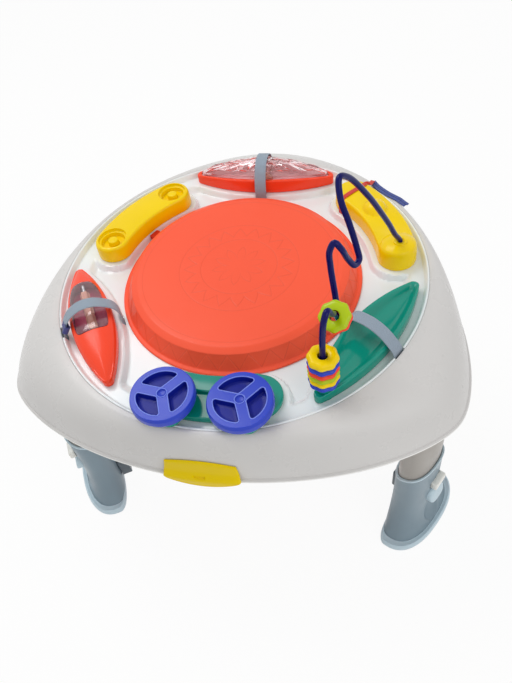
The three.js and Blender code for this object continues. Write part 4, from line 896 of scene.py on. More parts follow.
def pleat(level, angle):
    """Between the zigzag lines the side stands out by a share of the pleat's depth: the
    share is the distance above or below the line, up to one."""
    turns = angle * zigzag_count / (2 * np.pi)
    wave = 2 * np.abs(turns - np.floor(turns + 0.5))
    share = (level - side_low) / (side_top - side_low)
    on_side = smooth(level, *pleat_foot) * (1 - smooth(level, *pleat_head))
    return pleat_depth * np.clip((wave - share) * pleat_sharpness, -1, 1) * on_side


outside = rounded(in_mm(lid_outside), 1.1 * mm, 4)
lengths = np.linalg.norm(np.diff(outside, axis=0), axis=1) * (outside[1:, 0] > top_radius)
foot = int(np.argmax(lengths)) + 1
steps = np.linspace(0, 1, side_rows + 1)[1:-1, None]
side_fill = outside[foot - 1] + (outside[foot] - outside[foot - 1]) * steps
outside = np.concatenate([outside[:foot], side_fill, outside[foot:]])
lid = turned(np.concatenate([outside, rounded(in_mm(lid_inside), 0.5 * mm, 2)]), lid_angles)
swell = pleat(lid[..., 2], lid_angles[None, :])
swell[len(outside):] = 0
swell[np.hypot(lid[..., 0], lid[..., 1]) < top_radius] = 0
lid[..., :2] += at_angle(swell, lid_angles)


def rounded_block(size, place, corner=1.0 * mm):
    """A block with round edges: loops of a rounded rectangle, drawn in at both ends."""
    half = np.array(size) / 2
    outline = rectangle(half[:2], 2 * corner, 4)
    bends = np.linspace(0, np.pi / 2, 5)
    insets = np.concatenate([corner * (1 - np.sin(bends)), corner * (1 - np.cos(bends))])
    low_levels, high_levels = corner * (1 - np.cos(bends)) - half[2], half[2] - corner * (1 - np.sin(bends))
    levels = np.concatenate([low_levels, high_levels])
    loops = [outline * (1 - inset / half[:2]) for inset in insets]
    rows = lifted([outline * 0] + loops + [outline * 0], [-half[2], *levels, half[2]])
    return patch(rows + np.array(place))


tongue = rounded_block(in_mm((15.6, 17, 6.4)), (172.8 * mm, 0, trough_level + 6.8 * mm))
piece("drum_lid", [patch(lid)], coral, "drum_cover", body="drum_cover")
piece("drum_lid_tongue", seated([tongue], rear_left + np.radians(1.5)), coral_dark, body="drum_cover")

# %% [markdown]
# ## The boats
#
# Three boats share one outline, a leaf of two arcs with round tips, and a deck that
# falls towards the tips. A boat is that outline carried through a list of insets and
# levels. On the red boat on the left the deck is a dome with a window in it, so the
# rows change from the leaf to the window's outline while the height stays the dome's.

# %% Boat rows
sheer_share = 0.35


def sheer(y):
    """The share of the height that is left towards the tips."""
    return 1 - sheer_share * (y / boat_half_length) ** 2


def boat_leaf(inset, *steps):
    """The outline of a boat, drawn in."""
    return leaf(boat_half_length - inset, boat_half_width - inset, boat_tip - inset / 3, *steps)


def boat_row(inset, level, scale=1.0):
    outline = boat_leaf(inset * mm) * scale
    return at_level(outline, gap + level * mm * sheer(outline[:, 1]))


def boat(rows):
    return np.stack([boat_row(*row) for row in rows])


hull_side = [(3, 0, 0), (3, 0), (1.5, 0), (0.6, 0.6), (0.1, 1.8), (0, 3), (0, 7)]


def in_leaf(x, y):
    """The scale of the leaf on which a point lies: the larger root of the circle that
    both its arcs belong to."""
    half_length, half_width = boat_half_length, boat_half_width
    arc = (half_length**2 + half_width**2) / (2 * half_width)
    c = arc - half_width
    side = np.abs(x)
    gained = arc**2 - c**2
    return np.clip((c * side + np.sqrt((c * side) ** 2 + gained * (x**2 + y**2))) / gained, 0, 1)


# %% Red boat with the window
deck_edge, deck_crest = 15 * mm, 29 * mm
window_centre, window_half = in_mm([0, -19]), in_mm([24.5, 51.5])
window_border = 3.2 * mm
well_floor = 5 * mm


def deck(points, lift=0.0):
    """A dome over the leaf: from the edge to the crest by the root of 1 - scale^2."""
    x, y = points[..., 0], points[..., 1]
    rise = np.sqrt(1 - in_leaf(x, y) ** 2 * 0.98)
    return at_level(points[..., :2], gap + (deck_edge + (deck_crest - deck_edge) * rise + lift) * sheer(y))


def window_outline(directions, shrink=0.0):
    """A squarish oval, one over the eighth root of the sum of eighth powers, cut by a
    leaf inside the hull's own. The leaf's reach is found by halving an interval."""
    half = window_half - shrink
    x, y = at_angle(1.0, directions).T
    reach = (np.abs(x / half[0]) ** 8 + np.abs(y / half[1]) ** 8) ** (-1 / 8)
    share = 1 - (window_border + shrink) / boat_half_width
    low, high = np.zeros_like(reach), np.full_like(reach, 0.1)
    for _ in range(22):
        half_way = (low + high) / 2
        within = in_leaf(*(window_centre + at_angle(half_way, directions)).T) < share
        low, high = np.where(within, half_way, low), np.where(within, high, half_way)
    return window_centre + at_angle((reach**-12 + low**-12) ** (-1 / 12), directions)


hull_rows = boat(hull_side + [(0, 12.6), (0.25, 13.9), (0.9, 14.9)])
deck_start = leaf(boat_half_length - 1.6 * mm, boat_half_width - 1.6 * mm, boat_tip - 0.53 * mm)
directions = directions_from(window_centre, deck_start)
shares = np.linspace(0, 1, 22)[:, None, None]
deck_rows = deck(deck_start * (1 - shares) + window_outline(directions) * shares)
well_start = at_level(window_outline(directions, 0.3 * mm), deck_rows[-1, :, 2] - 0.5 * mm)[None]
well_loops = [window_outline(directions, 0.5 * mm)] * 2 + [np.tile(window_centre, (len(directions), 1))]
well = np.concatenate([well_start, lifted(well_loops, (9 * mm, well_floor, well_floor))])
piece("red_boat_hull", on_boat(np.concatenate([hull_rows, deck_rows, well_start]), left), red, "red_boat")
# The well is in the dark plum: painted shade inside the hull.
piece("red_boat_well", on_boat(well, left), well_shade_plum)

pane = window_outline(ring(160), 0.35 * mm)
pane_shares = np.concatenate([np.linspace(0, 0.93, 26), [0.965, 0.985, 1.0]])[:, None, None]
pane_xy = window_centre + (pane - window_centre) * pane_shares
pane_top, pane_low = deck(pane_xy, 1.2 * mm), deck(pane_xy, -1.0 * mm)
pane_top[..., 2] -= in_mm([0.0] * 26 + [0.1, 0.35, 0.9])[:, None]
piece("red_boat_pane", on_boat([plate(pane_top, pane_low)], left), clear, "red_boat_window")

# %% Roller and axle under the window
roller_level, roller_middle = 15.5 * mm, -14 * mm


def lying(points):
    """Turns an upright solid about X so that its axis runs along Y at the roller."""
    return np.stack([points[..., 0], -points[..., 2] + roller_middle, points[..., 1] + roller_level], -1)


roller_profile = in_mm([(2.8, -37), (5.6, -37), (6.4, -36.4), (6.7, -35), (6.7, -12), (5.4, -11), (5.4, -9),
                        (6.7, -8), (6.7, 8), (5.4, 9), (5.4, 11), (6.7, 12), (6.7, 35), (6.4, 36.4),
                        (5.6, 37), (2.8, 37)])


def lobes(angle):
    return 1 - 0.07 * (1 - np.cos(6 * angle))


bore = turned(in_mm([(2.8, 37), (2.8, -37)]))
roller_rows = np.concatenate([turned(roller_profile, swell=lobes)[1:-1], bore])
roller = [patch(lying(roller_rows), wrap_rows=True)]
piece("boat_roller", on_boat(roller, left), roller_cream, "red_boat_roller", body="roller")
axle_profile = in_mm([(0, -54), (2.1, -54), (2.5, -53.6), (2.5, 53.6), (2.1, 54), (0, 54)])
piece("boat_axle", on_boat(lying(turned(axle_profile, 32)), left), steel, "red_boat_axle")

# %% [markdown]
# The rear boat is open and holds a clear dome that is cut in flat facets like a
# crystal. Its facets are a coarse grid on purpose: each second row is turned by half a
# step, each quad is split into triangles, and a low edge angle keeps them flat.

# %% Rear boat, its faceted dome, spinner and pin
rear_rows = boat(hull_side + [
    (0, 20.2), (0.4, 22), (1.4, 22.9), (3, 23), (6.6, 22.2), (7.8, 21.2), (8.2, 19.6), (8.2, 15), (8.4, 14),
    (8.4, 7), (9.8, 5.6), (9.8, 5.6, 0)])
piece("rear_boat_hull", on_boat(rear_rows, rear), red, "rear_boat")
liner_rows = boat([(8.7, 6.2, 0), (8.7, 6.2, 0.5), (8.7, 6.2), (8.7, 19), (9.3, 19), (9.3, 6.8),
                   (9.3, 6.8, 0.5), (9.3, 6.8, 0)])
piece("rear_boat_liner", on_boat(liner_rows, rear), pink_liner)


def dome_ring(inset, level, scale, half_step=False):
    """A coarse leaf ring; half a step on, its points are the middles of its sides. The
    inner rings rise and fall a little from point to point, so that no two facets match."""
    loop = boat_leaf(inset * mm, 14, 3) * scale
    if half_step:
        loop = (loop + np.roll(loop, -1, axis=0)) / 2
    uneven = 1.3 * mm * np.sin(2.4 * np.arange(len(loop)) + 9 * scale) * (0 < scale < 1)
    return at_level(loop, gap + level * mm * sheer(loop[:, 1]) + uneven)


dome_rings = [(8.6, 19.6, 1), (8.6, 27, 1), (8.6, 35, 0.86, True), (8.6, 39, 0.62), (8.6, 41.6, 0.32, True),
              (8.6, 41.6, 0, True), (10.6, 39.6, 0), (10.6, 37, 0.5), (10.6, 32, 0.84), (10.6, 25, 1),
              (10.6, 19.6, 1)]
dome_part = patch(np.stack([dome_ring(*row) for row in dome_rings]), wrap_rows=True)
dome = piece("rear_boat_crystal", on_boat([dome_part], rear), crystal, "rear_boat_dome", sharp=4)
splitter = bmesh.new()
splitter.from_mesh(dome.data)
bmesh.ops.triangulate(splitter, faces=splitter.faces, quad_method="SHORT_EDGE")
splitter.to_mesh(dome.data)
splitter.free()
dome.data.polygons.foreach_set("use_smooth", np.zeros(len(dome.data.polygons), dtype=bool))

spinner_turn = ring(144)
arm = 4.5 * mm + 12.5 * mm * ((1 + np.cos(3 * spinner_turn)) / 2) ** 0.7
bore_reach = np.full_like(arm, 2.8 * mm)
reaches = [bore_reach] + [arm - inset * mm for inset in (1.2, 0.4, 0, 0, 0.4, 1.2)] + [bore_reach]
spin_levels = in_mm((9, 9, 9.4, 10.2, 14.8, 15.6, 16, 16))
spinner = [patch(at_angle(np.stack(reaches), spinner_turn, spin_levels[:, None]), wrap_rows=True)]
piece("boat_spinner", on_boat(spinner, rear), roller_cream, "rear_boat_spinner", body="spinner")
pin_profile = in_mm([(0, 3.3), (2.5, 3.3), (2.5, 21.2), (2.1, 21.9), (1.2, 22), (0, 22)])
piece("boat_pin", on_boat(turned(pin_profile, 32), rear), steel, "rear_boat_pin")

# %% Green boat
plug_along, plug_top = -97 * mm, 26 * mm
green_rows = boat(hull_side + [
    (0, 16.4), (0.3, 17.9), (1.1, 18.8), (2.3, 19), (3.6, 18.8), (5, 18), (6.4, 16.8), (8, 15), (9.4, 13.2),
    (10.6, 11.6), (11.8, 10.2), (13, 9.1), (13, 8.3, 0.93), (13, 7.5, 0.84), (13, 7, 0.7), (13, 6.6, 0.5),
    (13, 6.4, 0.25), (13, 6.4, 0)])
boss_profile = rounded(in_mm([(0, 1), (12, 1), (10.4, 6), (8.8, 14), (8.5, 26), (0, 26)]), 1.6 * mm, 5)
plug_boss = turned(boss_profile, 64, (0, plug_along, 0))
piece("green_boat_hull", on_boat([patch(green_rows), patch(plug_boss)], right), green, "green_boat")

# %% [markdown]
# ## The yellow bars
#
# Both bars have the same bent outline and a crowned top. The wire bar's dome and knob
# are heights added on the top, over rows that shrink to the bar's middle line. The
# socket bar needs true round holes. Its top is stretched between two loops: the bar's
# outline, and a dumbbell that runs round one hole, along the middle line and round the
# other. Both sides of the middle line have the same points, so they close when merged.

# %% The sides and the top of a bar
bar_height = 25 * mm
bar_side = [(1.5, 0), (0.5, 0.7), (0, 3), (0.3, 12), (0.8, 19), (1.2, 21.4), (1.9, 23.2), (2.9, 24.3),
            (4.1, 24.9)]


def bar_rows(radius, half_angle, half_width):
    """The bent outline drawn in by each inset of the side, at that inset's level."""
    return np.stack([at_level(bent(radius, half_angle, half_width - inset), gap + level)
                     for inset, level in in_mm(bar_side)])


def bar_top(points, radius, half_angle):
    """The crown: one millimetre over the middle line, falling as a parabola."""
    reach = from_bar(points[..., 0], points[..., 1], 0.0, radius, half_angle, 0.0)
    return gap + bar_height + 1.0 * mm * (1 - np.clip(reach / (24 * mm), 0, 1) ** 2)


def crowned(points, start_level, blend, radius, half_angle):
    """Rows of the top, whose level goes from the side's to the crown's by the blend."""
    return at_level(points, start_level * (1 - blend) + bar_top(points, radius, half_angle) * blend)


def bottom_of(radius, half_angle):
    """The same outline shrunk to the middle line at the lowest level."""
    return at_level(bent(radius, half_angle, 0.01 * mm), gap)[None]


# %% Socket bar
socket_radius = 22 * mm
bar_radius, bar_half_angle, _ = socket_bar_shape
sides = bar_rows(*socket_bar_shape)
outline = sides[-1, :, :2]
outline_angle = np.arctan2(outline[:, 1], outline[:, 0])
end_sign = np.sign(outline_angle + 1e-9)
end_centres = at_angle(bar_radius, end_sign * bar_half_angle)
outward = at_angle(1.0, end_sign * bar_half_angle)
tangent = end_sign[:, None] * np.c_[-outward[:, 1], outward[:, 0]]
offset = outline - end_centres
direction = np.arctan2((offset * outward).sum(-1), (offset * tangent).sum(-1))
split = np.arctan2(23.9, -31.0)
on_circle = np.abs(direction) <= split
opened = np.clip(direction / split, -1, 1) * np.pi
spokes = np.cos(opened)[:, None] * tangent + np.sin(opened)[:, None] * outward
slit_end = bar_half_angle - 2 * np.arcsin(socket_radius / (2 * bar_radius))
split_angle = np.abs(outline_angle[on_circle]).min()
slit_xy = at_angle(bar_radius, end_sign * np.minimum(np.abs(outline_angle) / split_angle, 1) * slit_end)
dumbbell = np.where(on_circle[:, None], end_centres + socket_radius * spokes, slit_xy)
shares = np.linspace(0, 1, 12)[1:, None, None]
top_xy = outline * (1 - shares) + dumbbell * shares
top_rows = crowned(top_xy, sides[-1, 0, 2], smooth(shares[..., 0], 0, 0.5), bar_radius, bar_half_angle)
bar_parts = [patch(np.concatenate([bottom_of(bar_radius, bar_half_angle), sides, top_rows]))]

socket_profile = rounded(in_mm([(22, 0), (21.8, -4.6), (18.4, -5), (18, -12), (8.2, -12), (7.8, -4),
                                (6.4, -3), (0, -2.6)]), 0.9 * mm, 4)
for sign in (1, -1):
    chosen = np.flatnonzero(on_circle & (end_sign == sign))
    chosen = chosen[np.argsort(opened[chosen])]
    loops = [end_centres[chosen] + radius * spokes[chosen] for radius in socket_profile[:, 0]]
    levels = [top_rows[-1, chosen, 2], *(gap + bar_height + 0.6 * mm + socket_profile[1:, 1])]
    bar_parts.append(patch(lifted(loops, levels)))
piece("socket_bar_body", on_pad(bar_parts, rear_left), yellow, "socket_bar")

# %% Wire bar
boss_reach, boss_rise = 27.5 * mm, 11.5 * mm
boss_at = at_angle(226 * mm, np.radians(-19.2))
bump_at = at_angle(222 * mm, np.radians(4))
saddle_at = at_angle(224 * mm, np.radians(-7))
bump_reach, bump_rise = 17.5 * mm, 11.5 * mm
saddle_reach, saddle_depth = 17 * mm, 4.5 * mm
bar_radius, bar_half_angle, _ = wire_bar_shape
sides = bar_rows(*wire_bar_shape)


def away_from(points, centre, reach):
    return np.hypot(points[..., 0] - centre[0], points[..., 1] - centre[1]) / reach


def swelling(points, centre, reach, rise, power):
    """A dome: the rise times (1 - d^2) to a power inside its reach."""
    return rise * np.clip(1 - away_from(points, centre, reach) ** 2, 0, 1) ** power


widths = in_mm(np.append(np.linspace(22.6, 1, 26), 0.02))
inner_xy = np.stack([bent(bar_radius, bar_half_angle, width) for width in widths])
blend_in = smooth(np.arange(1, len(widths) + 1) / 5, 0, 1)[:, None]
inner_rows = crowned(inner_xy, sides[-1, 0, 2], blend_in, bar_radius, bar_half_angle)
wire_rows = np.concatenate([sides, inner_rows])
upper = smooth(wire_rows[..., 2], 10 * mm, 25 * mm)
boss_dome = swelling(wire_rows, boss_at, boss_reach, boss_rise - 1.4 * mm, 0.66)
bump = swelling(wire_rows, bump_at, bump_reach, bump_rise, 0.6)
on_top = smooth(wire_rows[..., 2], 24.9 * mm, 25.6 * mm)
saddle = saddle_depth * np.exp(-(away_from(wire_rows, saddle_at, saddle_reach) ** 2)) * on_top
wire_rows[..., 2] += upper * np.maximum(boss_dome, bump) - saddle
collar_profile = rounded(in_mm([(5.2, 29), (5.2, 36), (5.8, 37.2), (8.2, 37.4), (9.3, 36.8), (9.7, 34),
                                (9.9, 28)]), 0.5 * mm, 4)
pit_profile = in_mm([(0, 28), (0, 29)])
collar = turned(np.concatenate([collar_profile, pit_profile]), 64, (*boss_at, gap))
wire_bar_parts = [patch(np.concatenate([bottom_of(bar_radius, bar_half_angle), wire_rows])),
                  patch(collar, wrap_rows=True)]
piece("wire_bar_body", on_pad(wire_bar_parts, rear_right), yellow, "wire_bar")

# %% [markdown]
# ## The little car
#
# The car has a green base with a raised strip and a six-sided plate under each wheel.
# A wheel is turned, but its face has three pockets. One third of the face is a patch
# that goes from the edge of its sector to the edge of the pocket, over a thin bead, and
# down to the pocket's floor. Three of them meet along the middles of the spokes.

# %% Car base
def bar_solid(inner, outer, top, half_angle):
    """A flat-topped bent bar with round edges."""
    radius, half = (inner + outer) / 2, (outer - inner) / 2
    side_rows = [(half, 0), (1.5 * mm, 0), (0.5 * mm, 0.6 * mm), (0, 3 * mm), (0.2 * mm, top - 2 * mm),
                 (0.7 * mm, top - 0.8 * mm), (1.6 * mm, top - 0.2 * mm), (3 * mm, top), (half, top)]
    loops = [bent(radius, half_angle, half - min(inset, half - 0.01 * mm)) for inset, _ in side_rows]
    return patch(lifted(loops, [gap + level for _, level in side_rows]))


hex_rows = [(0.01, 10.4), (36, 10.4), (37, 11.2), (37, 13), (36.4, 13.8), (35, 14.1), (24, 18.2), (21.6, 19),
            (0.01, 19)]


def hex_plate(side):
    """A six-sided plate with round corners that tapers to a round neck under the wheel."""
    corners_xy = at_angle(1.0, ring(6, np.pi / 6))
    loops = [polygon_outline(reach * mm * corners_xy, 0.22 * reach * mm, 8) for reach, _ in hex_rows]
    place = np.array([wheel_out, side * wheel_aside, 0])
    neck = turned(in_mm([(0, 0.3), (15, 0.3), (15, 12), (0, 12)]), 48, place)
    return [patch(lifted(loops, [level * mm for _, level in hex_rows]) + place), patch(neck)]


base_parts = [bar_solid(base_inner, base_outer, 9 * mm, base_half_angle),
              bar_solid(base_inner + 1.5 * mm, 213 * mm, 14 * mm, base_half_angle)]
for side in (1, -1):
    base_parts += hex_plate(side)
piece("car_base_body", on_pad(base_parts, front), green, "car_base")

# %% One third of a wheel's face
wheel_top = 35 * mm
spoke_half, hub_radius, face_radius = 7.0 * mm, 7.2 * mm, 34.6 * mm
pocket_radius, pocket_corner, hub_corner = 31.4 * mm, 2.6 * mm, 3.4 * mm
spoke_turn = np.radians(82)
arc_steps, corner_steps, side_steps, hub_steps = 30, 10, 14, 12
rim_steps, edge_steps = arc_steps + corner_steps, side_steps + corner_steps // 2
third_turn = np.pi / 3


def arc_of(centre, radius, first, last, steps):
    """Points of an arc from the first angle up to, and without, the last one."""
    return centre + at_angle(radius, np.linspace(first, last, steps, endpoint=False))


def pocket_outline(grow):
    """The sector between two spokes: the rim's arc, and two sides that keep a distance
    from the spokes' middle lines. Each corner is a circle that touches both of its
    sides, so growing by a distance keeps the circles' centres and all the directions."""
    reach, spoke = pocket_radius + grow, spoke_half - grow
    corner, inner = pocket_corner + grow, hub_corner + grow
    along = np.sqrt((reach - corner) ** 2 - (spoke + corner) ** 2)
    out = at_angle(1.0, third_turn)
    across = np.array([out[1], -out[0]])
    upper = along * out + (spoke + corner) * across
    hub = np.array([(spoke + inner) / np.sin(third_turn), 0.0])
    upper_turn = np.arctan2(upper[1], upper[0])
    side_turn = third_turn + np.pi / 2
    upper_arc = arc_of(upper, corner, upper_turn, side_turn, corner_steps)
    lower_arc = arc_of(upper * [1, -1], corner, -side_turn, -upper_turn, corner_steps)
    start, end = upper - corner * across, hub - inner * across
    share = np.linspace(0, 1, side_steps, endpoint=False)[:, None]
    upper_side = start * (1 - share) + end * share
    lower_side = (end * (1 - share) + start * share) * [1, -1]
    hub_arc = arc_of(hub, inner, side_turn, 2 * np.pi - side_turn, hub_steps)
    rim_arc = arc_of(np.zeros(2), reach, -upper_turn, upper_turn, arc_steps)
    half = corner_steps // 2
    stretches = [rim_arc, upper_arc, upper_side, hub_arc, lower_side]
    return np.concatenate([lower_arc[half:], *stretches, lower_arc[:half]])


def wheel_face():
    """Rows go from the sector's edge to the pocket, over a thin bead, and down to its
    floor. Columns run round both, with the same count along each stretch."""
    outwards = np.linspace(hub_radius, face_radius, edge_steps, endpoint=False)
    inwards = np.linspace(face_radius, hub_radius, edge_steps, endpoint=False)
    face_rim = arc_of(np.zeros(2), face_radius, -third_turn, third_turn, rim_steps)
    hub_rim = arc_of(np.zeros(2), hub_radius, third_turn, -third_turn, hub_steps)
    edge = np.concatenate([face_rim, at_angle(inwards, third_turn), hub_rim,
                           at_angle(outwards, -third_turn)])
    near = pocket_outline(1.5 * mm)
    loops = [edge] + [edge * (1 - share) + near * share for share in (0.35, 0.7)]
    bead_grow, bead_level = in_mm([1.5, 1.25, 0.85, 0.45, 0.1, 0]), in_mm([0, 0.35, 0.55, 0.5, 0.2, -0.4])
    bead_rows = lifted([pocket_outline(grow) for grow in bead_grow], bead_level)
    floor_grow, floor_level = in_mm([0, -0.2, -0.5, -0.9, -1.8]), in_mm([-0.4, -3, -6.6, -7.6, -8])
    floor_loops = [pocket_outline(grow) for grow in floor_grow]
    centre = in_mm([19.5, 0.0])
    floor_loops += [centre + (floor_loops[-1] - centre) * share for share in (0.6, 0)]
    face = np.concatenate([lifted(loops, [0, 0, 0]), bead_rows])
    pocket = lifted(floor_loops, [*floor_level, floor_level[-1], floor_level[-1]])
    # The third grid is the bead lifted by 0.12 mm: a skin that carries a painted highlight round the pocket.
    return face, pocket, bead_rows + [0, 0, 0.12 * mm]


# %% Wheels
face, pocket, bead_highlight_skin = wheel_face()
tread = rounded([(37.2, 0), (39, 0), (39.6, -2.6), (40.4, -4), (40.4, -11), (38.6, -15), (30, -15)], 1.2)
tyre_profile = in_mm([(34.6, 0), (37.2, 0), *tread, (4.3, -15), (4.3, -6.1), (0, -6.1)])
hub_profile = in_mm([(7.2, 0), (6.9, 0.3), (6.4, 0.45), (5.9, 0.3), (5.6, -0.2), (5.3, -1.8), (4.6, -2.2),
                     (0, -2.2)])
# A skin just over the hub's bead, for a painted highlight ring round the hub.
hub_highlight_ring = in_mm([(6.9, 0.4), (6.4, 0.62), (5.9, 0.45), (5.55, -0.1)])
shaft_profile = in_mm([(0, -30.2), (3.6, -30.2), (4, -29.8), (4, -6.8), (3.6, -6.4), (0, -6.4)])
thirds = [2 * third_turn * k for k in range(3)]
rim_third = np.linspace(-third_turn, third_turn, rim_steps, endpoint=False)
hub_third = np.linspace(third_turn, -third_turn, hub_steps, endpoint=False)[::-1]
rim_angles, hub_angles = (np.concatenate([part + turn for turn in thirds]) for part in (rim_third,
                                                                                        hub_third))
tyre, hub = turned(tyre_profile, rim_angles), turned(hub_profile, hub_angles)


def in_thirds(rows):
    return [patch(seat(rows, turn)) for turn in thirds]


wheel_parts = {
    "body": [patch(tyre), patch(hub), *in_thirds(face)],
    # The pockets take the darker blue: painted shade in the recesses.
    "pockets": in_thirds(pocket),
    # These skins carry the painted highlight of the beads.
    "beads": [patch(turned(hub_highlight_ring, hub_angles)), *in_thirds(bead_highlight_skin)],
    "shaft": [patch(turned(shaft_profile, 32))],
}
for name, side in (("left", -1), ("right", 1)):
    wheel_place = np.array([wheel_out, side * wheel_aside, wheel_top])
    for part, finish in (("body", blue), ("pockets", pocket_shade_blue), ("beads", bead_highlight_blue), ("shaft", steel)):
        turned_parts = seated(wheel_parts[part], spoke_turn)
        placed = on_pad([(points + wheel_place, faces) for points, faces in turned_parts], front)
        body = "table" if part == "shaft" else f"wheel_{name}"
        replaced = {"body": [f"wheel_{name}"], "shaft": [f"wheel_axle_{name}"]}.get(part, [])
        piece(f"wheel_{part}_{name}", placed, finish, *replaced, body=body)

# %% [markdown]
# ## The bead wire
#
# A thick coated wire runs from a boss on the green boat, through two hanging beads, up
# in a loop and down into the yellow bar. It is a smooth curve through listed points,
# with a round section carried along it. The section is turned from station to station
# by the smallest turn, so that it never twists.

# %% Wire
wire_radius = 3.7 * mm
wire_bends = in_mm([
    (141.2, -193.5, 60), (142.3, -194.3, 105), (144.7, -193.7, 127.8), (147.1, -187.7, 134.4),
    (150.8, -177.4, 119.9), (153, -164, 103), (156.5, -154, 84), (157, -145, 76), (153, -136, 82),
    (149.1, -128.7, 104), (144.8, -121.9, 134.8), (144.3, -121.5, 157.2), (149.5, -119.7, 167.9),
    (156.6, -119.4, 159.2), (162.4, -109.8, 136.3), (170.1, -102.4, 119.5), (174.3, -92.8, 119.1),
    (171.3, -88.1, 131.9), (162.2, -79.8, 160), (152.1, -73.5, 189.6), (150.1, -63.3, 208.5),
    (157.9, -49.3, 199.7), (180, -20, 151), (194, 0.5, 112), (206, 18.5, 76), (214.5, 31.5, 48),
    (219.8, 39.2, 34.5)])
plug = seat(np.array([[0, plug_along, gap + plug_top]]), right, boat_radius, pad_level)[0]
boss = seat(np.array([[*boss_at, gap + bar_height + boss_rise]]), rear_right, 0, pad_level)[0]
wire_bends[0, :2] = plug[:2]
wire_points = [plug - [0, 0, 11.7 * mm], plug, *wire_bends, boss, boss - [0, 0, 7 * mm]]


def tube(path, radius, columns=28):
    """A circle at each station, in a frame turned by the smallest turn from the last
    one. Both ends are closed in a round cap of three rings."""
    along = heading(path)
    side = np.cross(along[0], [0.3, 1.0, 0.2])
    sides = []
    for direction in along:
        side = unit(side - direction * (side @ direction))
        sides.append(side)
    sides = np.array(sides)
    other = np.cross(along, sides)
    angle = ring(columns)
    circle = np.cos(angle)[None, :, None] * sides[:, None] + np.sin(angle)[None, :, None] * other[:, None]
    first = [path[0] + radius * share * circle[0] for share in (0.0, 0.7)]
    last = [path[-1] + radius * share * circle[-1] for share in (0.7, 0.0)]
    return patch(np.concatenate([first, path[:, None] + radius * circle, last]))


wire_part = tube(curve_through(wire_points, 420), wire_radius)
piece("bead_wire_tube", [wire_part], navy, "bead_wire")

# %% Beads
bead_profile = in_mm([(6, -2.2), (6.3, -3.2), (7.4, -3.75), (14, -3.8), (16.6, -3.3), (18.4, -1.7), (19, 0),
                      (18.4, 1.7), (16.6, 3.3), (14, 3.8), (7.4, 3.75), (6.3, 3.2), (6, 2.2)])
bead_thickness, dished_bead_thickness = 7.6 * mm, 10 * mm
scallop_depth, scallop_count, bead_dish_depth = 0.07, 8, 0.9 * mm


def bead(thickness):
    """A ring with a scalloped outside, deepest at the rim. A thick bead's faces are dished at the bore."""
    reach, level = bead_profile[:, :1], bead_profile[:, 1:]
    angle = ring(128)
    scallop = -scallop_depth * (1 - np.cos(scallop_count * angle)) / 2
    scalloped = reach * (1 + scallop * smooth(reach, 9 * mm, 17 * mm))
    dish = bead_dish_depth * smooth(reach, 8 * mm, 13 * mm) - bead_dish_depth
    level = level * thickness / bead_thickness + np.sign(level) * dish * (thickness > dished_bead_thickness)
    return at_angle(scalloped, angle, level)


def tilted(points, axis):
    """Turns Z onto an axis by the shortest way."""
    side = unit(np.cross(straight_up, axis))
    basis = np.stack([side, np.cross(straight_up, side), straight_up])
    return (points @ basis.T) @ np.stack([side, np.cross(axis, side), axis])


for k, finish in enumerate((blue, yellow, lime, red, blue, yellow), start=1):
    low, high = corners_of_node(f"bead_{k}")
    centre = np.append(plug[:2], ((low + high) / 2 - datum)[2])
    bead_part = patch(bead(high[2] - low[2]) + centre, wrap_rows=True)
    piece(f"stack_bead_{k}", [bead_part], finish, f"bead_{k}", body=f"bead_{k}")

hang_axis = -unit(wire_bends[6] - wire_bends[5])
for name, finish in (("lime", lime), ("red", red)):
    low, high = corners_of_node(f"bead_{name}")
    bead_part = patch(tilted(bead(bead_thickness), hang_axis) + (low + high) / 2 - datum, wrap_rows=True)
    piece(f"hanging_bead_{name}", [bead_part], finish, f"bead_{name}", body=f"bead_{name}")

# %% [markdown]
# ## Straps, label and ribbons
#
# A strap is flat webbing, so it is modelled directly: a thin rounded section carried
# along its path, with a UV map in metres across and along for the weave. Both ends are
# folded double, which is what keeps them in their slots.

# %% Straps
strap_width, strap_thickness, strap_fold = 18 * mm, 1.6 * mm, 4.6 * mm
strap_paths = {
    "left": [(258, 6), (251, 19), (240, 30), (224, 36.5), (208, 35), (195, 28), (185, 19), (180, 7)],
    "rear": [(258, 7), (251, 20), (240, 31), (225, 36.5), (210, 36), (197, 29), (187, 16), (181, 0)],
    "right": [(259, 4), (251, 13), (240, 22), (226, 28.5), (210, 30.5), (196, 28), (186, 15), (181, 0)],
}


def section(width, thickness, count=5):
    """A flat loop with round edges: (across, through) points."""
    bend = np.linspace(-np.pi / 2, np.pi / 2, count)
    half = thickness / 2
    edge = np.c_[width / 2 - half + half * np.cos(bend), half * np.sin(bend)]
    flat = np.linspace(edge[-1, 0], -edge[-1, 0], 14)[1:-1]
    top = np.c_[flat, np.full(len(flat), half)]
    return np.concatenate([edge, top, -edge, -top])


def ribbon_grid(path, across, width, thickness):
    """The section at each station of the path, with its width along the across
    direction, closed at both ends; and the UV of each point, in metres."""
    across = np.broadcast_to(across, path.shape)
    thickness = np.broadcast_to(thickness, len(path))[:, None, None]
    through = np.cross(heading(path), across)
    base = section(width, 1.0 * mm)
    rows = (path[:, None] + base[None, :, :1] * across[:, None]
            + (base[None, :, 1:] / (1.0 * mm)) * (thickness * through[:, None]))
    closed = np.concatenate([path[:1, None] + 0 * rows[:1], rows, path[-1:, None] + 0 * rows[-1:]])
    length = np.concatenate([[0], np.cumsum(np.linalg.norm(np.diff(path, axis=0), axis=1))])
    uv = np.stack(np.broadcast_arrays(base[None, :, 0], length[:, None]), -1)
    return closed, np.concatenate([uv[:1], uv, uv[-1:]])


def in_plane(points):
    """(radius, level) in millimetres as points of the plane that the strap runs in."""
    return in_mm([(radius, 0, level) for radius, level in points])


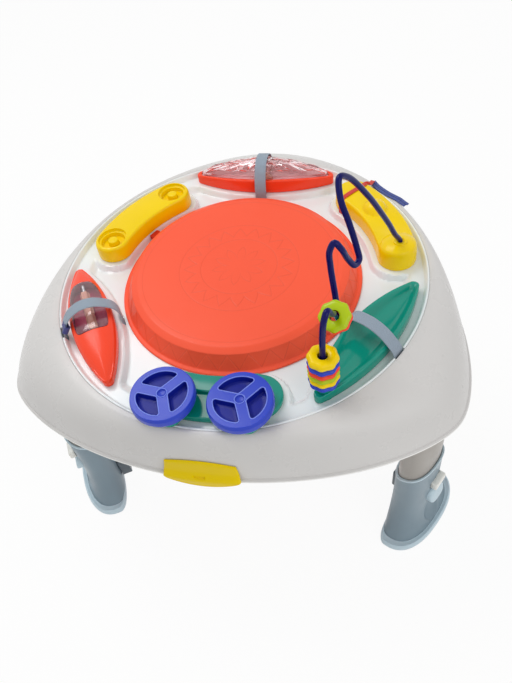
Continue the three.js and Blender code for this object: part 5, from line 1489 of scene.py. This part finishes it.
strap_stations = 110
fold_thickness = [3.2 * mm, strap_fold, strap_fold]
strap_thick = fold_thickness + [strap_thickness] * strap_stations + fold_thickness[::-1]
for name, path in strap_paths.items():
    middle_line = in_plane([(260.6, -18.2), (260.6, -3)] + path + [(179.5, -15), (179.5, -21.3)])
    outer_fold = in_plane([(260.6, -24.2), (260.6, -23.6), (260.6, -19.4)])
    inner_fold = in_plane([(179.5, -22), (179.5, -26.6), (179.5, -27.3)])
    line = np.concatenate([outer_fold, curve_through(middle_line, strap_stations), inner_fold])
    grid, uv = ribbon_grid(line, [0.0, 1.0, 0.0], strap_width, strap_thick)
    piece(f"strap_{name}_webbing", [patch(seat(grid, corners[name]))], strap_grey, f"strap_{name}", uv=uv)

# %% Label on the left strap
tag_tilt = -0.66
tag_up = np.array([np.sin(tag_tilt), 0, np.cos(tag_tilt)])
tag_out = np.array([np.cos(tag_tilt), 0, -np.sin(tag_tilt)])
tag_loop = in_mm([(-1.5, -5, 0), (-1.6, 3, 0), (-2.4, 8.4, 0), (-4, 11.4, 0), (-2.6, 14, 0), (0.6, 14.6, 0),
                  (3.4, 12.6, 0), (2.4, 8.8, 0), (1.6, 4, 0), (1.5, -4, 0)])
tag_line = curve_through(tag_loop, 60)
tag_path = in_mm([253.6, 0, 13.4]) + tag_line[:, :1] * tag_out + tag_line[:, 1:2] * np.array([0.0, 1.0, 0.0])
grid, uv = ribbon_grid(tag_path, tag_up, 12 * mm, 0.8 * mm)
piece("strap_label", [patch(seat(grid, left))], tag_navy, "strap_tag", uv=uv)

# %% Ribbons
ribbon_thickness, ribbon_stations = 1.4 * mm, 120
red_width, blue_width, blue_shift = 7 * mm, 5.1 * mm, 2.8 * mm
red_path = [
    (194, 47.2, -8.5), (194, 47.2, -2), (194.3, 47.2, 6), (195.8, 47.2, 12.5), (199.5, 47.2, 16.4),
    (206, 47.2, 18.2), (224, 47.2, 18.5), (236, 47.2, 18.5), (243, 47.2, 18.3), (249, 47.2, 16.4),
    (253.6, 47.3, 12), (258, 47.7, 9.4), (263, 48.3, 7.6), (270.5, 49, 5.6)]
blue_path = [
    (270.6, 49, 3.2), (268.2, 46.6, 2.2), (267.8, 44, 1.5), (268.6, 41.4, 1.3), (271, 39, 1.2),
    (273.6, 37, 0.9),
    (274.8, 35.2, 0.3), (276.8, 33.7, -0.8)]


def laid_ribbon(name, route, shift, width, finish, node, twist=0.0):
    """A ribbon through (radius, angle in degrees, level), flat but for its twist: the
    across direction v is v cos a + (k x v) sin a, for the heading k square to it."""
    radius, degrees, level = np.array(route).T
    points = at_angle(radius * mm + shift, np.radians(degrees), level * mm)
    path = curve_through(points, ribbon_stations)
    along = heading(path)
    across = unit(np.cross([0, 0, 1], along))
    angle = np.broadcast_to(twist, len(path))[:, None]
    across = across * np.cos(angle) + np.cross(along, across) * np.sin(angle)
    grid, uv = ribbon_grid(path, across, width, ribbon_thickness)
    piece(name, [patch(grid)], finish, node, uv=uv)


half_twist = np.pi * smooth(np.linspace(0, 1, ribbon_stations), 0.68, 0.84)
laid_ribbon("ribbon_red", red_path, 0, red_width, ribbon_red, "red_ribbon", half_twist)
for k, shift in enumerate((-blue_shift, blue_shift), start=1):
    laid_ribbon(f"ribbon_blue_{k}", blue_path, shift, blue_width, ribbon_blue, f"blue_ribbon_{k}")

# %% [markdown]
# ## The front tab
#
# A yellow lens sits over the lip at the front and follows the skirt. It is the skirt's
# own surface, pushed out by a few millimetres inside a lens outline, with a shallow
# slot pressed into it.

# %% Front tab
tab_half_angle, tab_shift = np.radians(4.9), np.radians(-0.3)
slot_shift, slot_drop = np.radians(-0.5), 65.0 * mm
slot_half_along, slot_half_height, slot_depth = 7.5 * mm, 2.4 * mm, 2.6 * mm
tab_per_turn = 560 * mm
bead_proud = 3 * mm


def skirt_point(angle, drop, grow):
    """The skirt's surface at an angle and a depth, pushed out by grow."""
    down = np.minimum(drop / skirt_drop, 1)
    bend = np.arccos(1 - down * (1 - np.cos(skirt_sweep)))
    out = (np.sin(bend) / np.sin(skirt_sweep))[..., None]
    return at_level(at_angle(crest_radius + grow, angle) * (1 - out) + lip(angle, grow) * out, -drop)


across_grid, up_grid = np.meshgrid(np.linspace(-1, 1, 133), np.linspace(1, -1, 57), indexing="ij")
top_edge = (38.5 + 6.5 * across_grid**2) * mm
low_edge = (71.5 + 12 * (1 - across_grid**2)) * mm
tab_angle = front + tab_shift + across_grid * tab_half_angle
drop = (top_edge + low_edge) / 2 - up_grid * (low_edge - top_edge) / 2
seat_out = bead_proud * smooth(drop, 58 * mm, skirt_drop) + 0.9 * mm
side_away = (tab_angle - front - slot_shift) * tab_per_turn
from_slot = np.maximum(np.abs(side_away) / slot_half_along, np.abs(drop - slot_drop) / slot_half_height)
edge_round = (1 - np.abs(up_grid) ** 10) ** 0.5 * (1 - np.abs(across_grid) ** 20) ** 0.5
body_proud = (2.4 + 2.2 * smooth(drop, 50 * mm, 74 * mm)) * mm
low_bead = 0.9 * mm * np.exp(-(((up_grid + 0.88) / 0.06) ** 2))
proud = body_proud * (0.3 + 0.7 * edge_round) - slot_depth * smooth(1 - from_slot, 0, 0.2) + low_bead
tab_skins = (skirt_point(tab_angle, drop, seat_out + proud), skirt_point(tab_angle, drop, seat_out))
piece("front_lens_tab", [plate(*tab_skins, wrap_columns=False)], tab_yellow, "front_tab")

# %% [markdown]
# ## The legs
#
# Each leg is a cream oval post in a socket, and a grey lower shell that slides on it
# and flares to a foot. The flare is a formula of the height: a share of its square and
# of its fifth power, so it starts gently and ends wide. The shell is two skins with a
# window left out for the button, and on its outer side a scoop is pressed in.

# %% Lower shell
post_top, post_low = -45 * mm, -328 * mm
floor_level = -rim_level
shell_top, shell_foot = -221 * mm, 4 * mm + floor_level
shell_slope = 15 * mm
sleeve_along, sleeve_radial = post_along + gap + wall, post_radial + gap + wall
foot_along, foot_outer, foot_inner, foot_rim_width = 83 * mm, 49 * mm, 23 * mm, 5 * mm
button_half, button_drop, button_shift = in_mm([14, 7.5]), 260 * mm, 6 * mm
window_half_along, window_half_high = button_half + 0.6 * mm
scoop_drop, scoop_half_along, scoop_half_height, scoop_depth = 340 * mm, 19 * mm, 34 * mm, 7.2 * mm


def flare(share):
    """0.22 of the share's square and 0.78 of its fifth power."""
    share = np.clip(share, 0, 1)
    return 0.22 * share**2 + 0.78 * share**5


def shell_skin(levels, turns, inset):
    """A superellipse whose half sizes grow by the flare, more on the outer side than on
    the inner one, sloping at its top."""
    share = 1 - (levels - shell_foot) / (shell_top - shell_foot)
    along = sleeve_along + (foot_along - foot_rim_width - sleeve_along) * flare(share) - inset
    outer_reach = sleeve_radial + (foot_outer - foot_rim_width - sleeve_radial) * flare(share) - inset
    inner_growth = foot_inner - 0.8 * mm - sleeve_radial
    inner_reach = sleeve_radial + inner_growth * np.clip(share, 0, 1) ** 8 - inset
    reach = np.where(np.cos(turns) > 0, outer_reach[:, None], inner_reach[:, None])
    x = reach * squarish(np.cos(turns))
    y = along[:, None] * squarish(np.sin(turns))
    lean = smooth(levels + rim_level, (shell_top + rim_level) / 2, shell_top + rim_level)
    return np.stack([x, y, levels[:, None] + lean[:, None] * shell_slope * x / post_radial], -1)


def scooped(points):
    """On the outer side the skin is pressed in by an upright bowl, deepest in its
    middle, with a low raised edge round it."""
    x, y, z = points[..., 0], points[..., 1], points[..., 2]
    d = np.sqrt((y / scoop_half_along) ** 2 + ((z + scoop_drop) / scoop_half_height) ** 2)
    press = scoop_depth * np.sqrt(np.clip(1 - d**2, 0, 1)) * (x > 0)
    edge = smooth(d, 1.0, 1.12) * (1 - smooth(d, 1.12, 1.3)) * 0.6 * mm * (x > 0)
    return np.stack([x - press + edge, y, z], -1)


def turns_at(y_over_along):
    """The superellipse's parameter, on the outer side, at a share of its half length."""
    return np.arcsin(np.sign(y_over_along) * np.abs(y_over_along) ** (2.4 / 2)) % (2 * np.pi)


def quad_middles(skin):
    """The middle of each quad, as the mean of its four corners."""
    middle = (skin[1:] + skin[:-1]) / 2
    return (middle + np.roll(middle, -1, axis=1)) / 2


def in_window(skin, drop, half_along, half_high):
    """Whether the middle of each quad is in a window on the outer side."""
    middle = quad_middles(skin)
    return ((middle[..., 0] > 0) & (np.abs(middle[..., 1] - button_shift) < half_along)
            & (np.abs(middle[..., 2] + drop) < half_high))


both_sides = np.array([-1, 1])
window_turns = turns_at((button_shift + both_sides * window_half_along) / sleeve_along)
leg_turns = np.unique(np.concatenate([ring(200), window_turns]).round(8))
edge_levels = [shell_top - 0.6 * mm, shell_foot + 0.6 * mm]
leg_levels = np.unique(np.concatenate([np.linspace(shell_foot, shell_top, 84), edge_levels]))
outer_shell, inner_shell = (scooped(shell_skin(leg_levels, leg_turns, inset)) for inset in (0.0, wall))
window = in_window(outer_shell, button_drop, window_half_along, window_half_high)
shell_part = plate(outer_shell, inner_shell, ~window)

# %% Foot rim, post, button, hood, bracket and screw
notch_drops, notch_half_along, notch_half_high = in_mm([262, 289, 316]), 7 * mm, 3.75 * mm
rim_rows = in_mm([(-4, 0), (-2.4, 0), (-0.9, 0.8), (0, 2.6), (0.1, 6), (-0.3, 9.4), (-1.2, 11.8), (-2.6, 13),
                  (-4, 13), (-4.8, 12.4)])


def foot_rim():
    """A rim of round section outside the shell's foot, and a flat sole inside it."""
    loops = []
    for grow, _ in rim_rows:
        loop = oval(foot_along + grow, 1.0, 160)
        loop[:, 0] *= np.where(loop[:, 0] > 0, foot_outer + grow, foot_inner + grow)
        loops.append(loop)
    inner = shell_skin(in_mm([12, 9, 6, 4]) + floor_level, ring(160), -gap)
    base = shell_skin(in_mm([4]) + floor_level, ring(160), 6 * mm)
    sole = at_level(base[..., :2], floor_level)
    outer = lifted(loops, rim_rows[:, 1] + floor_level)
    return patch(np.concatenate([outer, inner, base, sole]), wrap_rows=True)


def post_part():
    """An oval tube with three notches on its outer side for the catch."""
    notch_turns = turns_at((button_shift + both_sides * notch_half_along) / post_along)
    turns = np.unique(np.concatenate([ring(160), notch_turns]).round(8))
    notch_edges = np.ravel(-notch_drops[:, None] + both_sides * notch_half_high)
    levels = np.unique(np.concatenate([np.linspace(post_low, post_top, 40), notch_edges]))[:, None]
    skins = [np.stack(np.broadcast_arrays((post_radial - inset) * squarish(np.cos(turns)),
                                          (post_along - inset) * squarish(np.sin(turns)), levels), -1)
             for inset in (0, wall)]
    notched = sum(in_window(skins[0], drop, notch_half_along, notch_half_high) for drop in notch_drops)
    return plate(*skins, notched == 0)


def on_x(loops, levels, place):
    """Outlines in Y and Z, each at its place along X, as rows of one grid."""
    rows = [np.c_[np.full(len(loop), x), loop] for loop, x in zip(loops, levels)]
    return np.stack(rows) + np.array(place)


def pushed_out(outline, rows, place):
    """An outline carried outwards: rows are (inset, x)."""
    half = np.abs(outline).max(axis=0)
    return on_x([outline * (1 - inset / half) for inset, _ in rows], [x for _, x in rows], place)


def button_part():
    """A rounded rectangle carried outwards through the sleeve's window."""
    start_x, least = post_radial + gap + 2.5 * mm, button_half.min()
    outline = rectangle(button_half, 3 * mm, 6)
    rows = [(least, start_x), (0.4 * mm, start_x), (0, start_x + 0.6 * mm), (0, start_x + 7.6 * mm),
            (0.3 * mm, start_x + 9 * mm), (1.2 * mm, start_x + 9.8 * mm), (2.4 * mm, start_x + 10 * mm),
            (least * 0.999, start_x + 9.7 * mm)]
    return patch(pushed_out(outline, rows, (0, button_shift, -button_drop)))


def hood_part():
    """A round-edged hood that stands out more towards its foot."""
    base, half_high = post_radial + wall + 2 * gap, 14 * mm
    rows = [(13.9, -3), (0, -3), (0, 4), (0.3, 6), (1.2, 7.6), (2.8, 8.6), (5.4, 8.9), (13.9, 8.8)]
    points = pushed_out(oval(18.5 * mm, half_high, 96, 3)[:, ::-1], in_mm(rows) + [0, base], (0, 0, 0))
    points[..., 0] += 3.4 * mm * np.clip(-points[..., 2] / half_high, -1, 1) * (points[..., 0] > base)
    return patch(points + in_mm([0, 4, -292]))


def sleeve_highlight_ring():
    """A thin light ring on the sleeve's upper edge, a painted highlight where the edge
    catches the light: loops of its skin a little outside it, over its edge and a little
    down inside."""
    insets = in_mm([0.2, -0.7, -0.9, -0.6, 0.4, 1.4, 2.4, 2.9, 2.4])
    levels = shell_top - in_mm([3.4, 3.1, 1.6, 0.1, -0.6, -0.7, -0.5, 0.2, 1.6])
    rows = [shell_skin(levels[k:k + 1], ring(160), inset)[0] for k, inset in enumerate(insets)]
    return patch(np.stack(rows), wrap_rows=True)


def bracket_part():
    """A frame with round edges: the outline and its opening at the same directions."""
    outer = rectangle(in_mm([10.5, 22]), 2.4 * mm, 5)
    opening_centre = in_mm([0.0, 6])
    opening = rectangle(in_mm([7.4, 6.6]), 1.6 * mm, 5) + opening_centre
    inner = matched(opening, opening_centre, directions_from(opening_centre, outer))
    back_x, front_x = -post_radial - wall - 16 * mm, -post_radial - wall + 0.6 * mm
    loops = [outer * 0.96, outer * 0.995, outer, outer, inner, inner, inner * 1.02]
    levels = [back_x, back_x + 1 * mm, back_x + 2 * mm, front_x, front_x, back_x + 0.8 * mm, back_x]
    return patch(on_x(loops, levels, in_mm([0, 16, -341])), wrap_rows=True)


def screw_part():
    """A turned head and shank, laid along X on the post's inner side."""
    head = in_mm([(0, -1.8), (0.9, -1.8), (1.1, -2.6), (2.6, -2.4), (4.2, -1.4), (4.5, -0.4), (4.5, 0),
                  (2, 0),
                  (2, 9), (0.5, 11), (0, 11)])
    x, y, z = np.moveaxis(turned(head, 40), -1, 0)
    return patch(np.stack([z, y, -x], -1) + np.array([-post_radial - 2 * gap - wall, 0, -80 * mm]))


leg_pieces = [
    ("leg_sleeve", shell_part, slate, "leg_shell", "leg_shell"),
    # The light ring is a painted highlight on the sleeve's top edge.
    ("sleeve_highlight_ring", sleeve_highlight_ring(), slate_light, None, "leg_shell"),
    ("foot_rim", foot_rim(), slate_light, "leg_foot", "leg_shell"),
    ("post_tube", post_part(), cream, "leg_post", None),
    ("release_button", button_part(), button_white, "leg_button", "leg_button"),
    ("scoop_hood", hood_part(), slate_light, "leg_hood", "leg_shell"),
    ("cable_bracket", bracket_part(), charcoal, "leg_bracket", "leg_shell"),
    ("post_screw", screw_part(), steel, "leg_screw", None),
]
for side_name, angle in corners.items():
    for name, part, finish, node, body in leg_pieces:
        placed = seated([part], angle, leg_radius)
        replaced = [f"{node}_{side_name}"] if node else []
        ridden = f"{body}_{side_name}" if body else "table"
        piece(f"{name}_{side_name}", placed, finish, *replaced, body=ridden)

# %% [markdown]
# ## The colour view
#
# The last line sets the colour view to Standard.

# %% The last line
bpy.context.view_layer.update()


bpy.context.scene.view_settings.view_transform = "Standard"
